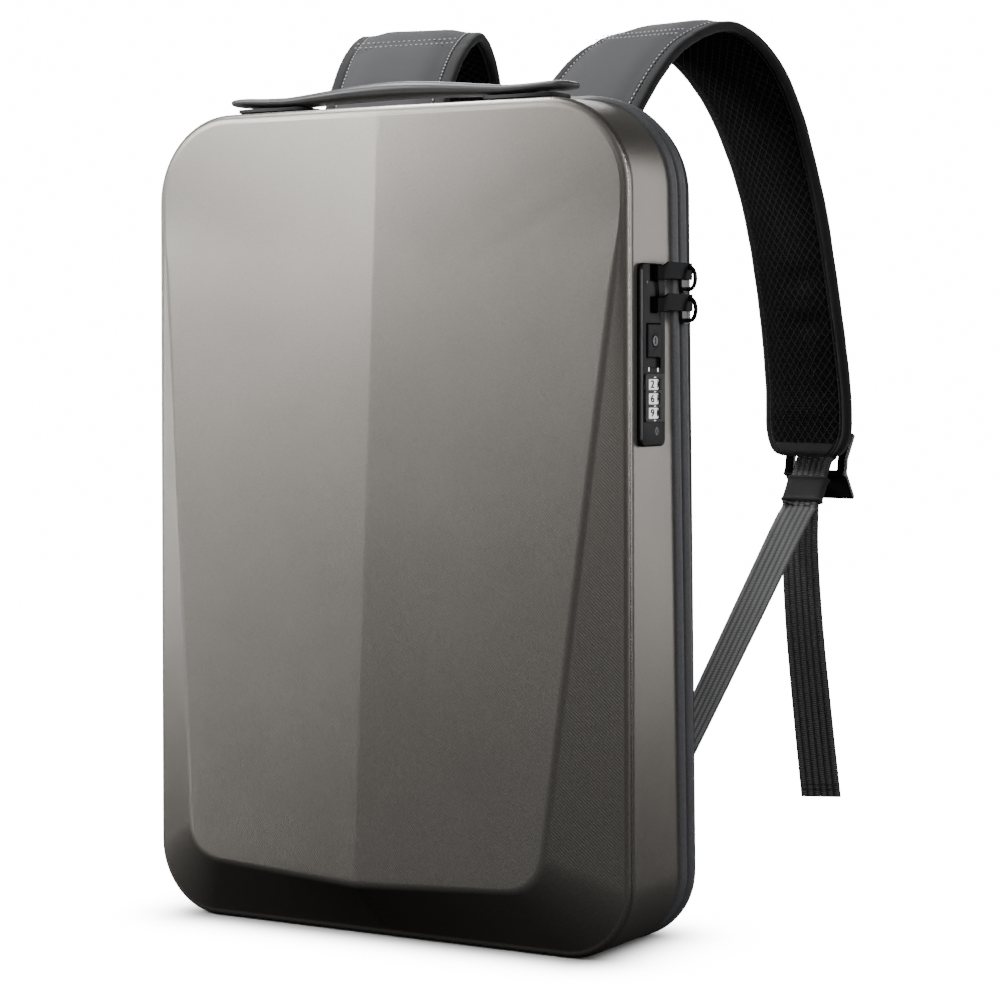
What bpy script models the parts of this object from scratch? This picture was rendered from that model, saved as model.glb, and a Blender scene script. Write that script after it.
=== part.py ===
"""Hard shell backpack: a moulded front shell zipped to a soft back, with a side lock, a low
carry handle and two padded shoulder straps on adjustable webbing.

Metres, +Z up. The front faces -Y, the lock is on +X, and the origin is on the floor, on the
centre plane, under the line where the shell meets its zip."""

import math

import bmesh
import bpy
from mathutils import Matrix, Vector

# Body
BODY_WIDTH = 0.304
BODY_HEIGHT = 0.450
TOP_CORNER = 0.050
BOTTOM_CORNER = 0.040
SEAM_GAP = 0.0003

# Front shell
SHELL_DEPTH = 0.043
SHELL_WALL = 0.0028
SHELL_DRAFT = 0.0012
FRONT_ROUND = 0.0045
FRONT_LEAN = 0.0025
ZIP_LEAN = 0.0145
ZIP_TOP_Y = -0.0020

# Raised panel on the front shell
PANEL_START_DROP = 0.065
PANEL_CORNER_INSET = 0.042
PANEL_CORNER_Z = 0.038
PANEL_POINT_Z = 0.032
PANEL_CORNER_RISE = 0.025
RIDGE_TOP_RISE = 0.004
RIDGE_LOW_RISE = 0.029
PANEL_RADIUS = 0.016
PANEL_MARGIN = 0.0010

# Piping and zip
PIPING_WIDTH = 0.0066
PIPING_PROUD = 0.0028
PIPING_SPACING = 0.0100
TAPE_THICKNESS = 0.0012
TAPE_LAP = 0.0075
TAPE_BACK_LAP = 0.0014
TAPE_EASE = 0.0004
TEETH_WIDTH = 0.0022
TEETH_PROUD = 0.0018

# Soft back
BACK_WALL = 0.0025
BACK_TOP_Y = 0.0272
BACK_LEAN = 0.0098
BACK_ROUND = 0.0060
PAD_THICKNESS = 0.0085
PAD_INSET = 0.0080
PAD_FOOT = 0.0004
PAD_ROUND = 0.0050

# Lock
LOCK_DROP = 0.1360
LOCK_Y = -0.0220
LOCK_WIDTH = 0.0265
LOCK_HEIGHT = 0.0950
LOCK_PLATE = 0.0024
LOCK_CORNER = 0.0035
LOCK_RIM = 0.0008
LOCK_BODY_INSET = 0.0035
LOCK_BODY_DEPTH = 0.0170
DIAL_COUNT = 3
DIAL_RADIUS = 0.0090
DIAL_HEIGHT = 0.0055
DIAL_PITCH = 0.00745
DIAL_PROUD = 0.0016
DIAL_MIDDLE_Z = -0.0228
DIAL_CLEARANCE = 0.0003
DIAL_SIDES = 20
SPINDLE_RADIUS = 0.0013
SPINDLE_CLEARANCE = 0.0003
RELEASE_WIDTH = 0.0146
RELEASE_HEIGHT = 0.0175
RELEASE_TRAVEL = 0.0050
RELEASE_TOP_Z = 0.0160
RELEASE_THICKNESS = 0.0020
RELEASE_PROUD = 0.0008
RELEASE_CLEARANCE = 0.0003
KEY_RADIUS = 0.0028
KEY_DEPTH = 0.0014
KEY_CLEARANCE = 0.0003
KEY_SLOT_WIDTH = 0.0007
KEY_SLOT_LENGTH = 0.0032
PULL_SLOT_WIDTH = 0.0075
PULL_SLOT_HEIGHT = 0.0082
PULL_SLOT_DEPTH = 0.0018
PULL_SLOT_Y = 0.0000
PULL_SPACING = 0.0165
PULL_MIDDLE_Z = 0.03415

# Zip sliders and pulls
SLIDER_LENGTH = 0.0150
SLIDER_WIDTH = 0.0100
SLIDER_THICKNESS = 0.0018
BRIDGE_RADIUS = 0.0058
BRIDGE_BULGE = 0.0033
BRIDGE_WIRE = 0.0012
PULL_HEIGHT = 0.0090
PULL_NOSE_HEIGHT = 0.0074
PULL_NOSE_DROP = 0.0017
PULL_THICKNESS = 0.0015
PULL_STAND = 0.0030
PULL_OVERHANG = 0.0040
PULL_EYE_CLEARANCE = 0.0004

# Carry handle
HANDLE_LENGTH = 0.2190
HANDLE_Y = -0.0240
HANDLE_WIDTH = 0.0260
HANDLE_END_THICKNESS = 0.0050
HANDLE_MIDDLE_THICKNESS = 0.0090
HANDLE_END_LIFT = 0.0034
HANDLE_MIDDLE_LIFT = 0.0045
HANDLE_BASE_LENGTH = 0.0450
HANDLE_BASE_WIDTH = 0.0220
HANDLE_BASE_THICKNESS = 0.0020
HANDLE_BASE_INSET = 0.0075
HANDLE_PIN_RADIUS = 0.0015

# Shoulder straps
STRAP_WIDTH = 0.0780
STRAP_END_WIDTH = 0.0710
STRAP_THICKNESS = 0.0110
STRAP_EDGE = 0.0042
STRAP_ROOT_INSET = 0.0890
STRAP_ROOT_DROP = 0.0550
STRAP_REACH = 0.2100
STRAP_CREST_RISE = 0.0530
STRAP_END_DROP = 0.1965
STRAP_SPLAY = 11.2
STRAP_TURN = 12.0
STRAP_FACE_TURN = 27.0
STRAP_LEFT_RISE = 0.0060

# Webbing, buckles and keepers
WEBBING_WIDTH = 0.0250
WEBBING_THICKNESS = 0.0014
ANCHOR_INSET = 0.0180
ANCHOR_Z = 0.0580
ANCHOR_LENGTH = 0.0220
ANCHOR_SLANT = 35.0
KEEPER_LENGTH = 0.0165
KEEPER_SPACING = 0.0030
KEEPER_WALL = 0.0012
TAIL_INSET = 0.0300
TAIL_Y = 0.2690
TAIL_END_Z = 0.0430
TAIL_TURN = -9.0
TAIL_SAG = 0.0080
PLY_SPACING = 0.0021
BUCKLE_WIDTH = 0.0370
BUCKLE_SETBACK = 0.0140
BUCKLE_DROP = 0.0010
BUCKLE_TURN = 12.0
BUCKLE_LEAN = 28.0
BUCKLE_TOP = 0.0165
BUCKLE_LOW = -0.0115
BUCKLE_BAR_Z = 0.0040
TAB_REACH = 0.0160
TAB_LOW = -0.0190
TAB_THICKNESS = 0.0024
BAR_DEPTH = 0.0032
BAR_HEIGHT = 0.0040

# Steps along curves
TOP_STEPS = 3
ARC_STEPS = 6
SIDE_STEPS = 6
BOTTOM_STEPS = 4

HALF_WIDTH = BODY_WIDTH / 2
WALL_INSIDE = -SHELL_WALL - SEAM_GAP

# Places that follow the body's size
PANEL_START = BODY_HEIGHT - PANEL_START_DROP
LOCK_Z = BODY_HEIGHT - LOCK_DROP
STRAP_ROOT_X = HALF_WIDTH - STRAP_ROOT_INSET
STRAP_ROOT_Z = BODY_HEIGHT - STRAP_ROOT_DROP
STRAP_CREST_Z = BODY_HEIGHT + STRAP_CREST_RISE
STRAP_END_Z = BODY_HEIGHT - STRAP_END_DROP
ANCHOR_X = HALF_WIDTH - ANCHOR_INSET
TAIL_X = HALF_WIDTH - TAIL_INSET


# Small helpers

def mix(a, b, t):
    """The value a share t of the way from a to b."""
    return a + (b - a) * t


def clear_scene():
    for item in list(bpy.data.objects):
        bpy.data.objects.remove(item)


def make_material(name, colour, roughness, metallic=0.0):
    material = bpy.data.materials.new(name)
    material.use_nodes = True
    shader = material.node_tree.nodes["Principled BSDF"]
    shader.inputs["Base Color"].default_value = (*colour, 1.0)
    shader.inputs["Roughness"].default_value = roughness
    shader.inputs["Metallic"].default_value = metallic
    return material


def add_object(name, bm, colour, roughness, metallic=0.0, parent=None, place=None, smooth=40):
    """One sub-part: its mesh, its own material and its place. smooth is the angle in degrees
    above which an edge stays sharp."""
    bmesh.ops.recalc_face_normals(bm, faces=bm.faces)
    mesh = bpy.data.meshes.new(name)
    bm.to_mesh(mesh)
    bm.free()
    if smooth:
        mesh.shade_smooth()
        mesh.set_sharp_from_angle(angle=math.radians(smooth))
    mesh.materials.append(make_material(name + "_finish", colour, roughness, metallic))
    item = bpy.data.objects.new(name, mesh)
    bpy.context.collection.objects.link(item)
    if parent is not None:
        item.parent = parent
    if place is not None:
        item.location = place
    return item


def add_cutter(name, bm, parent=None):
    """A hidden solid that a Boolean cuts with or joins."""
    item = add_object(name, bm, (0.5, 0.5, 0.5), 0.5, parent=parent, smooth=0)
    item.hide_render = True
    item.display_type = "WIRE"
    return item


def apply_boolean(item, tool, operation):
    modifier = item.modifiers.new(operation.lower(), "BOOLEAN")
    modifier.operation = operation
    modifier.solver = "EXACT"
    modifier.object = tool


def box(bm, low, high):
    """An upright box between two corners."""
    made = bmesh.ops.create_cube(bm, size=1.0)["verts"]
    size = Vector(high) - Vector(low)
    bmesh.ops.scale(bm, vec=size, verts=made)
    bmesh.ops.translate(bm, vec=(Vector(high) + Vector(low)) / 2, verts=made)
    return made


def cylinder(bm, radius, low, high, sides, axis="Z", centre=(0.0, 0.0)):
    """A closed cylinder along one axis, between two positions on it."""
    turn = {"Z": Matrix(), "X": Matrix.Rotation(math.pi / 2, 4, "Y")}[axis]
    made = bmesh.ops.create_cone(
        bm, cap_ends=True, segments=sides, radius1=radius, radius2=radius,
        depth=high - low, matrix=turn,
    )["verts"]
    middle = (high + low) / 2
    if axis == "Z":
        offset = Vector((centre[0], centre[1], middle))
    else:
        offset = Vector((middle, centre[0], centre[1]))
    bmesh.ops.translate(bm, vec=offset, verts=made)
    return made


def bevel(bm, edges, width, segments):
    bmesh.ops.bevel(
        bm, geom=edges, offset=width, segments=segments, profile=0.5,
        affect="EDGES", clamp_overlap=True, material=-1,
    )


def loft(sections, ring=False, caps=True):
    """Skin over sections of equal point counts. A ring joins its last section to its first."""
    bm = bmesh.new()
    rows = [[bm.verts.new(point) for point in section] for section in sections]
    count = len(rows[0])
    pairs = list(zip(rows, rows[1:]))
    if ring:
        pairs.append((rows[-1], rows[0]))
    for near, far in pairs:
        for i in range(count):
            j = (i + 1) % count
            bm.faces.new((near[i], near[j], far[j], far[i]))
    if caps and not ring:
        bm.faces.new(rows[0])
        bm.faces.new(rows[-1])
    return bm, rows


def smooth_path(points, steps):
    """A curve through its points, with a few steps from each to the next."""
    path = []
    for i in range(len(points) - 1):
        p0 = points[max(i - 1, 0)]
        p1 = points[i]
        p2 = points[i + 1]
        p3 = points[min(i + 2, len(points) - 1)]
        for k in range(steps):
            t = k / steps
            path.append(
                0.5 * (2 * p1 + (p2 - p0) * t + (2 * p0 - 5 * p1 + 4 * p2 - p3) * t * t
                       + (3 * p1 - p0 - 3 * p2 + p3) * t * t * t)
            )
    path.append(points[-1].copy())
    return path


def ribbon(path, across, section):
    """Sweep webbing along a path. across gives each station's width direction, and section a
    list of (share of half width, offset along the face normal)."""
    rows = []
    last = len(path) - 1
    for i, point in enumerate(path):
        along = (path[min(i + 1, last)] - path[max(i - 1, 0)]).normalized()
        side = (across[i] - along * across[i].dot(along)).normalized()
        face = side.cross(along)
        half = WEBBING_WIDTH / 2
        rows.append([point + side * (half * s) + face * n for s, n in section])
    return loft(rows)[0]


# Outlines of the body

def side_levels(low):
    """Heights of the points down one side: the panel's start, then even steps."""
    count = SIDE_STEPS - 1
    return [mix(PANEL_START, low, i / count) for i in range(count)]


def body_outline(inset=0.0, foot=0.0):
    """Rounded outline as (x, z, outward x, outward z), clockwise from the top centre."""
    high = BODY_HEIGHT - inset
    half_width = HALF_WIDTH - inset
    top_radius = TOP_CORNER - inset
    low_radius = BOTTOM_CORNER - inset
    top_flat = half_width - top_radius
    low_flat = half_width - low_radius
    half = [(top_flat * i / TOP_STEPS, high, 0.0, 1.0) for i in range(TOP_STEPS)]
    for i in range(ARC_STEPS + 1):
        a = math.pi / 2 * i / ARC_STEPS
        half.append((
            top_flat + top_radius * math.sin(a),
            high - top_radius + top_radius * math.cos(a),
            math.sin(a),
            math.cos(a),
        ))
    for level in side_levels(foot + low_radius):
        half.append((half_width, level, 1.0, 0.0))
    for i in range(ARC_STEPS + 1):
        a = math.pi / 2 * (1 + i / ARC_STEPS)
        half.append((
            low_flat + low_radius * math.sin(a),
            foot + low_radius + low_radius * math.cos(a),
            math.sin(a),
            math.cos(a),
        ))
    for i in range(1, BOTTOM_STEPS + 1):
        half.append((low_flat * (1 - i / BOTTOM_STEPS), foot, 0.0, -1.0))
    mirrored = [(-x, z, -nx, nz) for x, z, nx, nz in reversed(half[1:-1])]
    return half + mirrored


def downward(nz):
    """How squarely an outline direction points at the floor, from 0 to 1."""
    return max(0.0, -nz) ** 2


def zip_y(z):
    """Where the shell's rim stands at a height: it leans back towards the floor."""
    return ZIP_TOP_Y + ZIP_LEAN * (1 - z / BODY_HEIGHT)


def front_y(z):
    return -SHELL_DEPTH + FRONT_LEAN * (1 - z / BODY_HEIGHT)


def back_y(z):
    return BACK_TOP_Y + BACK_LEAN * (1 - z / BODY_HEIGHT)


def panel_side(z):
    """Half width of the raised panel at a height."""
    share = min(max((PANEL_START - z) / (PANEL_START - PANEL_CORNER_Z), 0.0), 1.1)
    return HALF_WIDTH - PANEL_CORNER_INSET * share


def panel_rise(x, z):
    """How far the raised panel stands in front of the shell's front edge."""
    down = min((BODY_HEIGHT - z) / (BODY_HEIGHT - PANEL_POINT_Z), 1.0)
    ridge = mix(RIDGE_TOP_RISE, RIDGE_LOW_RISE, down)
    edge_share = max((PANEL_START - z) / (PANEL_START - PANEL_CORNER_Z), 0.0)
    edge = PANEL_CORNER_RISE * edge_share
    return mix(ridge, edge, min(abs(x) / panel_side(z), 1.0))


def front_edge_rise(x, z):
    """The front edge follows the panel where the panel reaches it, above its sides."""
    return panel_rise(x, z) if z >= PANEL_START else 0.0


# Front shell

def shell_loop(inset, setback):
    """One loop round the shell's front edge, inset from the outline and set back in y."""
    loop = []
    for x, z, nx, nz in body_outline():
        draft = SHELL_DRAFT * (1 - downward(nz))
        px = x - nx * (draft + inset)
        pz = z - nz * (draft + inset)
        loop.append(Vector((px, front_y(z) - front_edge_rise(x, z) + setback, pz)))
    return loop


def panel_loop():
    """The raised panel's outline, with as many points as the front edge."""
    inset = FRONT_ROUND + PANEL_MARGIN + SHELL_DRAFT
    outer = body_outline(inset)
    count = len(outer) // 2 + 1
    half = [Vector((x, z)) for x, z, _, _ in outer[:TOP_STEPS + ARC_STEPS + 1]]
    corner = Vector((panel_side(PANEL_CORNER_Z), PANEL_CORNER_Z))
    start = Vector((HALF_WIDTH - inset, PANEL_START))
    point = Vector((0.0, PANEL_POINT_Z))
    turn_in = corner + (start - corner).normalized() * PANEL_RADIUS
    turn_out = corner + (point - corner).normalized() * PANEL_RADIUS
    side_count = SIDE_STEPS - 1
    half += [start.lerp(turn_in, i / side_count) for i in range(side_count)]
    for i in range(ARC_STEPS + 1):
        t = i / ARC_STEPS
        half.append(turn_in.lerp(corner, t).lerp(corner.lerp(turn_out, t), t))
    half += [turn_out.lerp(point, i / BOTTOM_STEPS) for i in range(1, BOTTOM_STEPS + 1)]
    half = half[:count]
    right = [Vector((p.x, front_y(p.y) - panel_rise(p.x, p.y), p.y)) for p in half]
    left = [Vector((-p.x, p.y, p.z)) for p in reversed(right[1:-1])]
    return right + left, count


def build_front_shell(lock_opening):
    rim = [Vector((x, zip_y(z), z)) for x, z, _, _ in body_outline()]
    sections = [rim, shell_loop(0.0, FRONT_ROUND)]
    for angle in (30, 60, 90):
        a = math.radians(angle)
        inset = FRONT_ROUND * (1 - math.cos(a))
        sections.append(shell_loop(inset, FRONT_ROUND * (1 - math.sin(a))))
    panel, half_count = panel_loop()
    sections.append(panel)
    bm, rows = loft(sections, caps=False)
    edge = rows[-1]
    total = len(edge)
    first = TOP_STEPS + 1
    last = half_count - BOTTOM_STEPS - 2
    ridge = {}
    for i in range(first, last + 1):
        z = edge[i].co.z
        ridge[i] = bm.verts.new((0.0, front_y(z) - panel_rise(0.0, z), z))
    for side in (1, -1):
        chain = [edge[(side * i) % total] for i in range(half_count)]
        bm.faces.new(chain[:first + 1] + [ridge[first]])
        for i in range(first, last):
            bm.faces.new((ridge[i], chain[i], chain[i + 1], ridge[i + 1]))
        bm.faces.new([ridge[last]] + chain[last:])
    item = add_object("front_shell", bm, (0.30, 0.28, 0.26), 0.42, 0.35, smooth=3)
    wall = item.modifiers.new("wall", "SOLIDIFY")
    wall.thickness = SHELL_WALL
    wall.offset = -1.0
    wall.use_even_offset = True
    apply_boolean(item, lock_opening, "DIFFERENCE")
    return item


# Piping and zip

def ring_sweep(name, section, colour, roughness, inset=0.0):
    """Sweep a closed section of (outward, y) points round the body, flat along the floor."""
    rows = []
    for x, z, nx, nz in body_outline(inset):
        flat = 1 - downward(nz)
        rows.append([
            Vector((
                x + nx * (out if out < 0 else out * flat),
                zip_y(z) + y,
                z + nz * (out if out < 0 else out * flat),
            ))
            for out, y in section
        ])
    bm, _ = loft(rows, ring=True)
    return add_object(name, bm, colour, roughness)


def piping_section(middle):
    """A round cord seen end on, touching its neighbours with a seam's gap."""
    half = PIPING_WIDTH / 2
    inner = SHELL_WALL
    points = []
    for k in range(8):
        a = math.radians(22.5 + 45 * k)
        out = PIPING_PROUD * math.sin(a) if math.sin(a) > 0 else inner * math.sin(a)
        points.append((out, middle + half * math.cos(a)))
    return points


def build_zip():
    front_middle = SEAM_GAP + PIPING_WIDTH / 2
    back_middle = front_middle + PIPING_SPACING
    ring_sweep("front_piping", piping_section(front_middle), (0.05, 0.05, 0.055), 0.45)
    ring_sweep("rear_piping", piping_section(back_middle), (0.05, 0.05, 0.055), 0.45)
    top = WALL_INSIDE - TAPE_EASE
    low = top - TAPE_THICKNESS
    teeth = front_middle + PIPING_SPACING / 2
    far = back_middle + PIPING_WIDTH / 2 + TAPE_BACK_LAP
    section = [
        (low, -TAPE_LAP), (top, -TAPE_LAP), (top, teeth - TEETH_WIDTH / 2),
        (top + TEETH_PROUD, teeth - TEETH_WIDTH / 2), (top + TEETH_PROUD, teeth + TEETH_WIDTH / 2),
        (top, teeth + TEETH_WIDTH / 2), (top, far), (low, far),
    ]
    ring_sweep("zip_tape", section, (0.015, 0.015, 0.016), 0.6)
    return teeth


def back_start():
    """How far behind the rim the soft back starts."""
    return SEAM_GAP * 2 + PIPING_WIDTH + PIPING_SPACING


# Soft back

def back_loop(inset, setback):
    loop = []
    for x, z, nx, nz in body_outline():
        px = x - nx * inset
        pz = z - nz * inset
        loop.append(Vector((px, back_y(pz) - setback, pz)))
    return loop


def build_rear_body():
    rim = [Vector((x, zip_y(z) + back_start(), z)) for x, z, _, _ in body_outline()]
    sections = [rim]
    for angle in (0, 30, 60, 90):
        a = math.radians(angle)
        sections.append(back_loop(BACK_ROUND * (1 - math.cos(a)), BACK_ROUND * (1 - math.sin(a))))
    bm, rows = loft(sections, caps=False)
    bm.faces.new(rows[-1])
    bmesh.ops.recalc_face_normals(bm, faces=bm.faces)
    for face in bm.faces:
        if face.normal.y > 0.9 and len(face.verts) > 8:
            break
    else:
        bmesh.ops.reverse_faces(bm, faces=bm.faces)
    item = add_object("rear_body", bm, (0.04, 0.04, 0.042), 0.8)
    wall = item.modifiers.new("wall", "SOLIDIFY")
    wall.thickness = BACK_WALL
    wall.offset = -1.0
    wall.use_even_offset = True


def build_back_panel():
    """The padded panel that lies against the wearer's back."""
    def loop(inset, out):
        points = []
        for x, z, nx, nz in body_outline(PAD_INSET, PAD_FOOT + inset):
            pz = z - max(nz, 0.0) * inset
            points.append(Vector((x - nx * inset, back_y(pz) + out, pz)))
        return points

    bulge = PAD_THICKNESS - PAD_ROUND
    sections = [loop(0.0, SEAM_GAP), loop(0.0, bulge)]
    for angle in (35, 65, 90):
        a = math.radians(angle)
        sections.append(loop(PAD_ROUND * (1 - math.cos(a)), bulge + PAD_ROUND * math.sin(a)))
    bm, _ = loft(sections)
    add_object("back_panel", bm, (0.03, 0.03, 0.032), 0.9)


def panel_back_y(z):
    """The rear face of the back panel at a height."""
    return back_y(z) + PAD_THICKNESS


# Lock on the right side wall

def lock_frame():
    """An empty on the wall's outer face, its X pointing straight out of the wall."""
    empty = bpy.data.objects.new("lock_place", None)
    bpy.context.collection.objects.link(empty)
    depth = -front_y(LOCK_Z) - FRONT_ROUND + zip_y(LOCK_Z)
    share = (zip_y(LOCK_Z) - LOCK_Y) / depth
    empty.location = (HALF_WIDTH - SHELL_DRAFT * share, LOCK_Y, LOCK_Z)
    empty.rotation_euler = (0.0, 0.0, -math.atan2(SHELL_DRAFT, depth))
    return empty


def build_lock(place):
    plate_low = SEAM_GAP
    plate_top = plate_low + LOCK_PLATE
    half_y = LOCK_WIDTH / 2
    half_z = LOCK_HEIGHT / 2

    bm = bmesh.new()
    box(bm, (plate_low, -half_y, -half_z), (plate_top, half_y, half_z))
    upright = [e for e in bm.edges if abs(e.verts[0].co.x - e.verts[1].co.x) > plate_low]
    bevel(bm, upright, LOCK_CORNER, 3)
    front = [f for f in bm.faces if f.normal.x > 0.9]
    bevel(bm, list({e for f in front for e in f.edges}), LOCK_RIM, 1)
    back = [f for f in bm.faces if f.normal.x < -0.9]
    bmesh.ops.inset_region(bm, faces=back, thickness=LOCK_BODY_INSET)
    grown = bmesh.ops.extrude_face_region(bm, geom=back)
    moved = [v for v in grown["geom"] if isinstance(v, bmesh.types.BMVert)]
    bmesh.ops.translate(bm, vec=(-LOCK_BODY_DEPTH, 0.0, 0.0), verts=moved)
    bmesh.ops.delete(bm, geom=back, context="FACES")
    housing = add_object("lock_housing", bm, (0.02, 0.02, 0.022), 0.3, parent=place)

    axis_x = plate_top + DIAL_PROUD - DIAL_RADIUS
    pocket_half = DIAL_RADIUS + DIAL_CLEARANCE
    cuts = bmesh.new()
    dial_levels = []
    for i in range(DIAL_COUNT):
        level = DIAL_MIDDLE_Z + DIAL_PITCH * ((DIAL_COUNT - 1) / 2 - i)
        dial_levels.append(level)
        half = DIAL_HEIGHT / 2 + DIAL_CLEARANCE
        box(
            cuts,
            (axis_x - pocket_half, -pocket_half, level - half),
            (plate_top * 2, pocket_half, level + half),
        )
    channel_floor = plate_top + RELEASE_PROUD - RELEASE_THICKNESS - RELEASE_CLEARANCE
    channel_half = RELEASE_WIDTH / 2 + RELEASE_CLEARANCE
    channel_low = RELEASE_TOP_Z - RELEASE_HEIGHT - RELEASE_TRAVEL - RELEASE_CLEARANCE
    box(
        cuts,
        (channel_floor, -channel_half, channel_low),
        (plate_top * 2, channel_half, RELEASE_TOP_Z + RELEASE_CLEARANCE),
    )
    for sign in (1, -1):
        level = PULL_MIDDLE_Z + sign * PULL_SPACING / 2
        box(
            cuts,
            (plate_top - PULL_SLOT_DEPTH, PULL_SLOT_Y - PULL_SLOT_WIDTH / 2,
             level - PULL_SLOT_HEIGHT / 2),
            (plate_top * 2, PULL_SLOT_Y + PULL_SLOT_WIDTH / 2, level + PULL_SLOT_HEIGHT / 2),
        )
    apply_boolean(housing, add_cutter("lock_pockets", cuts, place), "DIFFERENCE")

    spindle = bmesh.new()
    reach = DIAL_HEIGHT / 2 + DIAL_CLEARANCE + SPINDLE_RADIUS
    cylinder(
        spindle, SPINDLE_RADIUS, min(dial_levels) - reach, max(dial_levels) + reach, 12,
        centre=(axis_x, 0.0),
    )
    apply_boolean(housing, add_cutter("dial_spindle", spindle, place), "UNION")

    for i, level in enumerate(dial_levels):
        build_dial(i + 1, place, (axis_x, 0.0, level))
    build_release(place, plate_top)
    return housing


def build_dial(number, place, centre):
    """A ring with a finger groove between each pair of digits."""
    bore = SPINDLE_RADIUS + SPINDLE_CLEARANCE
    rings = []
    groove = DIAL_RADIUS * 0.95
    for radius_pair, level in (
        ((bore, bore), -DIAL_HEIGHT / 2), ((DIAL_RADIUS, groove), -DIAL_HEIGHT / 2),
        ((DIAL_RADIUS, groove), DIAL_HEIGHT / 2), ((bore, bore), DIAL_HEIGHT / 2),
    ):
        ring = []
        for k in range(DIAL_SIDES):
            a = 2 * math.pi * k / DIAL_SIDES
            radius = radius_pair[k % 2]
            ring.append(Vector((radius * math.cos(a), radius * math.sin(a), level)))
        rings.append(ring)
    bm, _ = loft(rings, ring=True)
    add_object(
        f"lock_dial_{number}", bm, (0.75, 0.75, 0.74), 0.4, parent=place, place=centre, smooth=0,
    )


def build_release(place, plate_top):
    """The sliding release, with the key cylinder set in its face."""
    low_x = plate_top + RELEASE_PROUD - RELEASE_THICKNESS
    top_x = plate_top + RELEASE_PROUD
    half_y = RELEASE_WIDTH / 2
    middle = RELEASE_TOP_Z - RELEASE_HEIGHT / 2
    bm = bmesh.new()
    box(bm, (low_x, -half_y, -RELEASE_HEIGHT / 2), (top_x, half_y, RELEASE_HEIGHT / 2))
    face_edges = [e for e in bm.edges if all(v.co.x > low_x * 1.01 for v in e.verts)]
    bevel(bm, face_edges, LOCK_RIM / 2, 1)
    slide = add_object(
        "release_slide", bm, (0.02, 0.02, 0.022), 0.35, parent=place, place=(0.0, 0.0, middle),
    )
    key_floor = top_x - KEY_DEPTH
    well = bmesh.new()
    cylinder(well, KEY_RADIUS + KEY_CLEARANCE, key_floor - KEY_CLEARANCE, top_x * 2, 20, "X")
    apply_boolean(slide, add_cutter("key_well", well, slide), "DIFFERENCE")

    core = bmesh.new()
    cylinder(core, KEY_RADIUS, key_floor, top_x + KEY_CLEARANCE, 20, "X")
    key = add_object("key_cylinder", core, (0.35, 0.35, 0.36), 0.3, 0.8, parent=slide)
    slot = bmesh.new()
    box(
        slot,
        (key_floor + KEY_DEPTH / 2, -KEY_SLOT_WIDTH / 2, -KEY_SLOT_LENGTH / 2),
        (top_x * 2, KEY_SLOT_WIDTH / 2, KEY_SLOT_LENGTH / 2),
    )
    apply_boolean(key, add_cutter("key_slot", slot, key), "DIFFERENCE")


def build_lock_opening(place):
    """The hole in the side wall that the lock's body passes through."""
    gap = LOCK_BODY_INSET - SEAM_GAP * 2
    bm = bmesh.new()
    box(
        bm,
        (-LOCK_BODY_DEPTH * 2, -LOCK_WIDTH / 2 + gap, -LOCK_HEIGHT / 2 + gap),
        (LOCK_PLATE * 4, LOCK_WIDTH / 2 - gap, LOCK_HEIGHT / 2 - gap),
    )
    return add_cutter("lock_opening", bm, place)


# Zip sliders and pulls

def build_slider_and_pull(label, level, teeth):
    """A slider astride the zip, and the pull that its bridge carries into the lock."""
    zip_line = zip_y(level) + teeth
    base = HALF_WIDTH + PIPING_PROUD + SEAM_GAP
    top = base + SLIDER_THICKNESS
    bm = bmesh.new()
    box(
        bm,
        (base, -SLIDER_WIDTH / 2, -SLIDER_LENGTH / 2),
        (top, SLIDER_WIDTH / 2, SLIDER_LENGTH / 2),
    )
    along = [e for e in bm.edges if abs(e.verts[0].co.x - e.verts[1].co.x) > SLIDER_THICKNESS / 2]
    bevel(bm, along, SLIDER_WIDTH * 0.3, 2)
    colour = (0.02, 0.02, 0.022)
    slider = add_object(
        f"zip_slider_{label}", bm, colour, 0.2, 0.4, place=(0.0, zip_line, level),
    )
    neck = bmesh.new()
    neck_half = (PIPING_SPACING - PIPING_WIDTH) / 2 - SEAM_GAP
    neck_low = HALF_WIDTH + WALL_INSIDE + TEETH_PROUD + SEAM_GAP
    box(
        neck,
        (neck_low, -neck_half, -SLIDER_LENGTH / 3),
        (base + SLIDER_THICKNESS / 2, neck_half, SLIDER_LENGTH / 3),
    )
    apply_boolean(slider, add_cutter(f"slider_neck_{label}", neck, slider), "UNION")
    start = top - BRIDGE_WIRE
    leg = PULL_STAND + PULL_THICKNESS / 2 + SEAM_GAP
    rows = []
    route = [(start, -BRIDGE_RADIUS), (base + leg, -BRIDGE_RADIUS)]
    for k in range(1, 8):
        a = math.pi * k / 8
        route.append((base + leg + BRIDGE_BULGE * math.sin(a), -BRIDGE_RADIUS * math.cos(a)))
    route += [(base + leg, BRIDGE_RADIUS), (start, BRIDGE_RADIUS)]
    last = len(route) - 1
    for i, (x, z) in enumerate(route):
        ahead = Vector(route[min(i + 1, last)]) - Vector(route[max(i - 1, 0)])
        ahead.normalize()
        normal = Vector((ahead.y, -ahead.x))
        ring = []
        for k in range(8):
            a = 2 * math.pi * k / 8
            out = BRIDGE_WIRE * math.cos(a)
            ring.append(Vector((x + normal.x * out, BRIDGE_WIRE * math.sin(a), z + normal.y * out)))
        rows.append(ring)
    bridge, _ = loft(rows)
    apply_boolean(slider, add_cutter(f"slider_bridge_{label}", bridge, slider), "UNION")

    build_pull(label, level, zip_line, base, colour)


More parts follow.
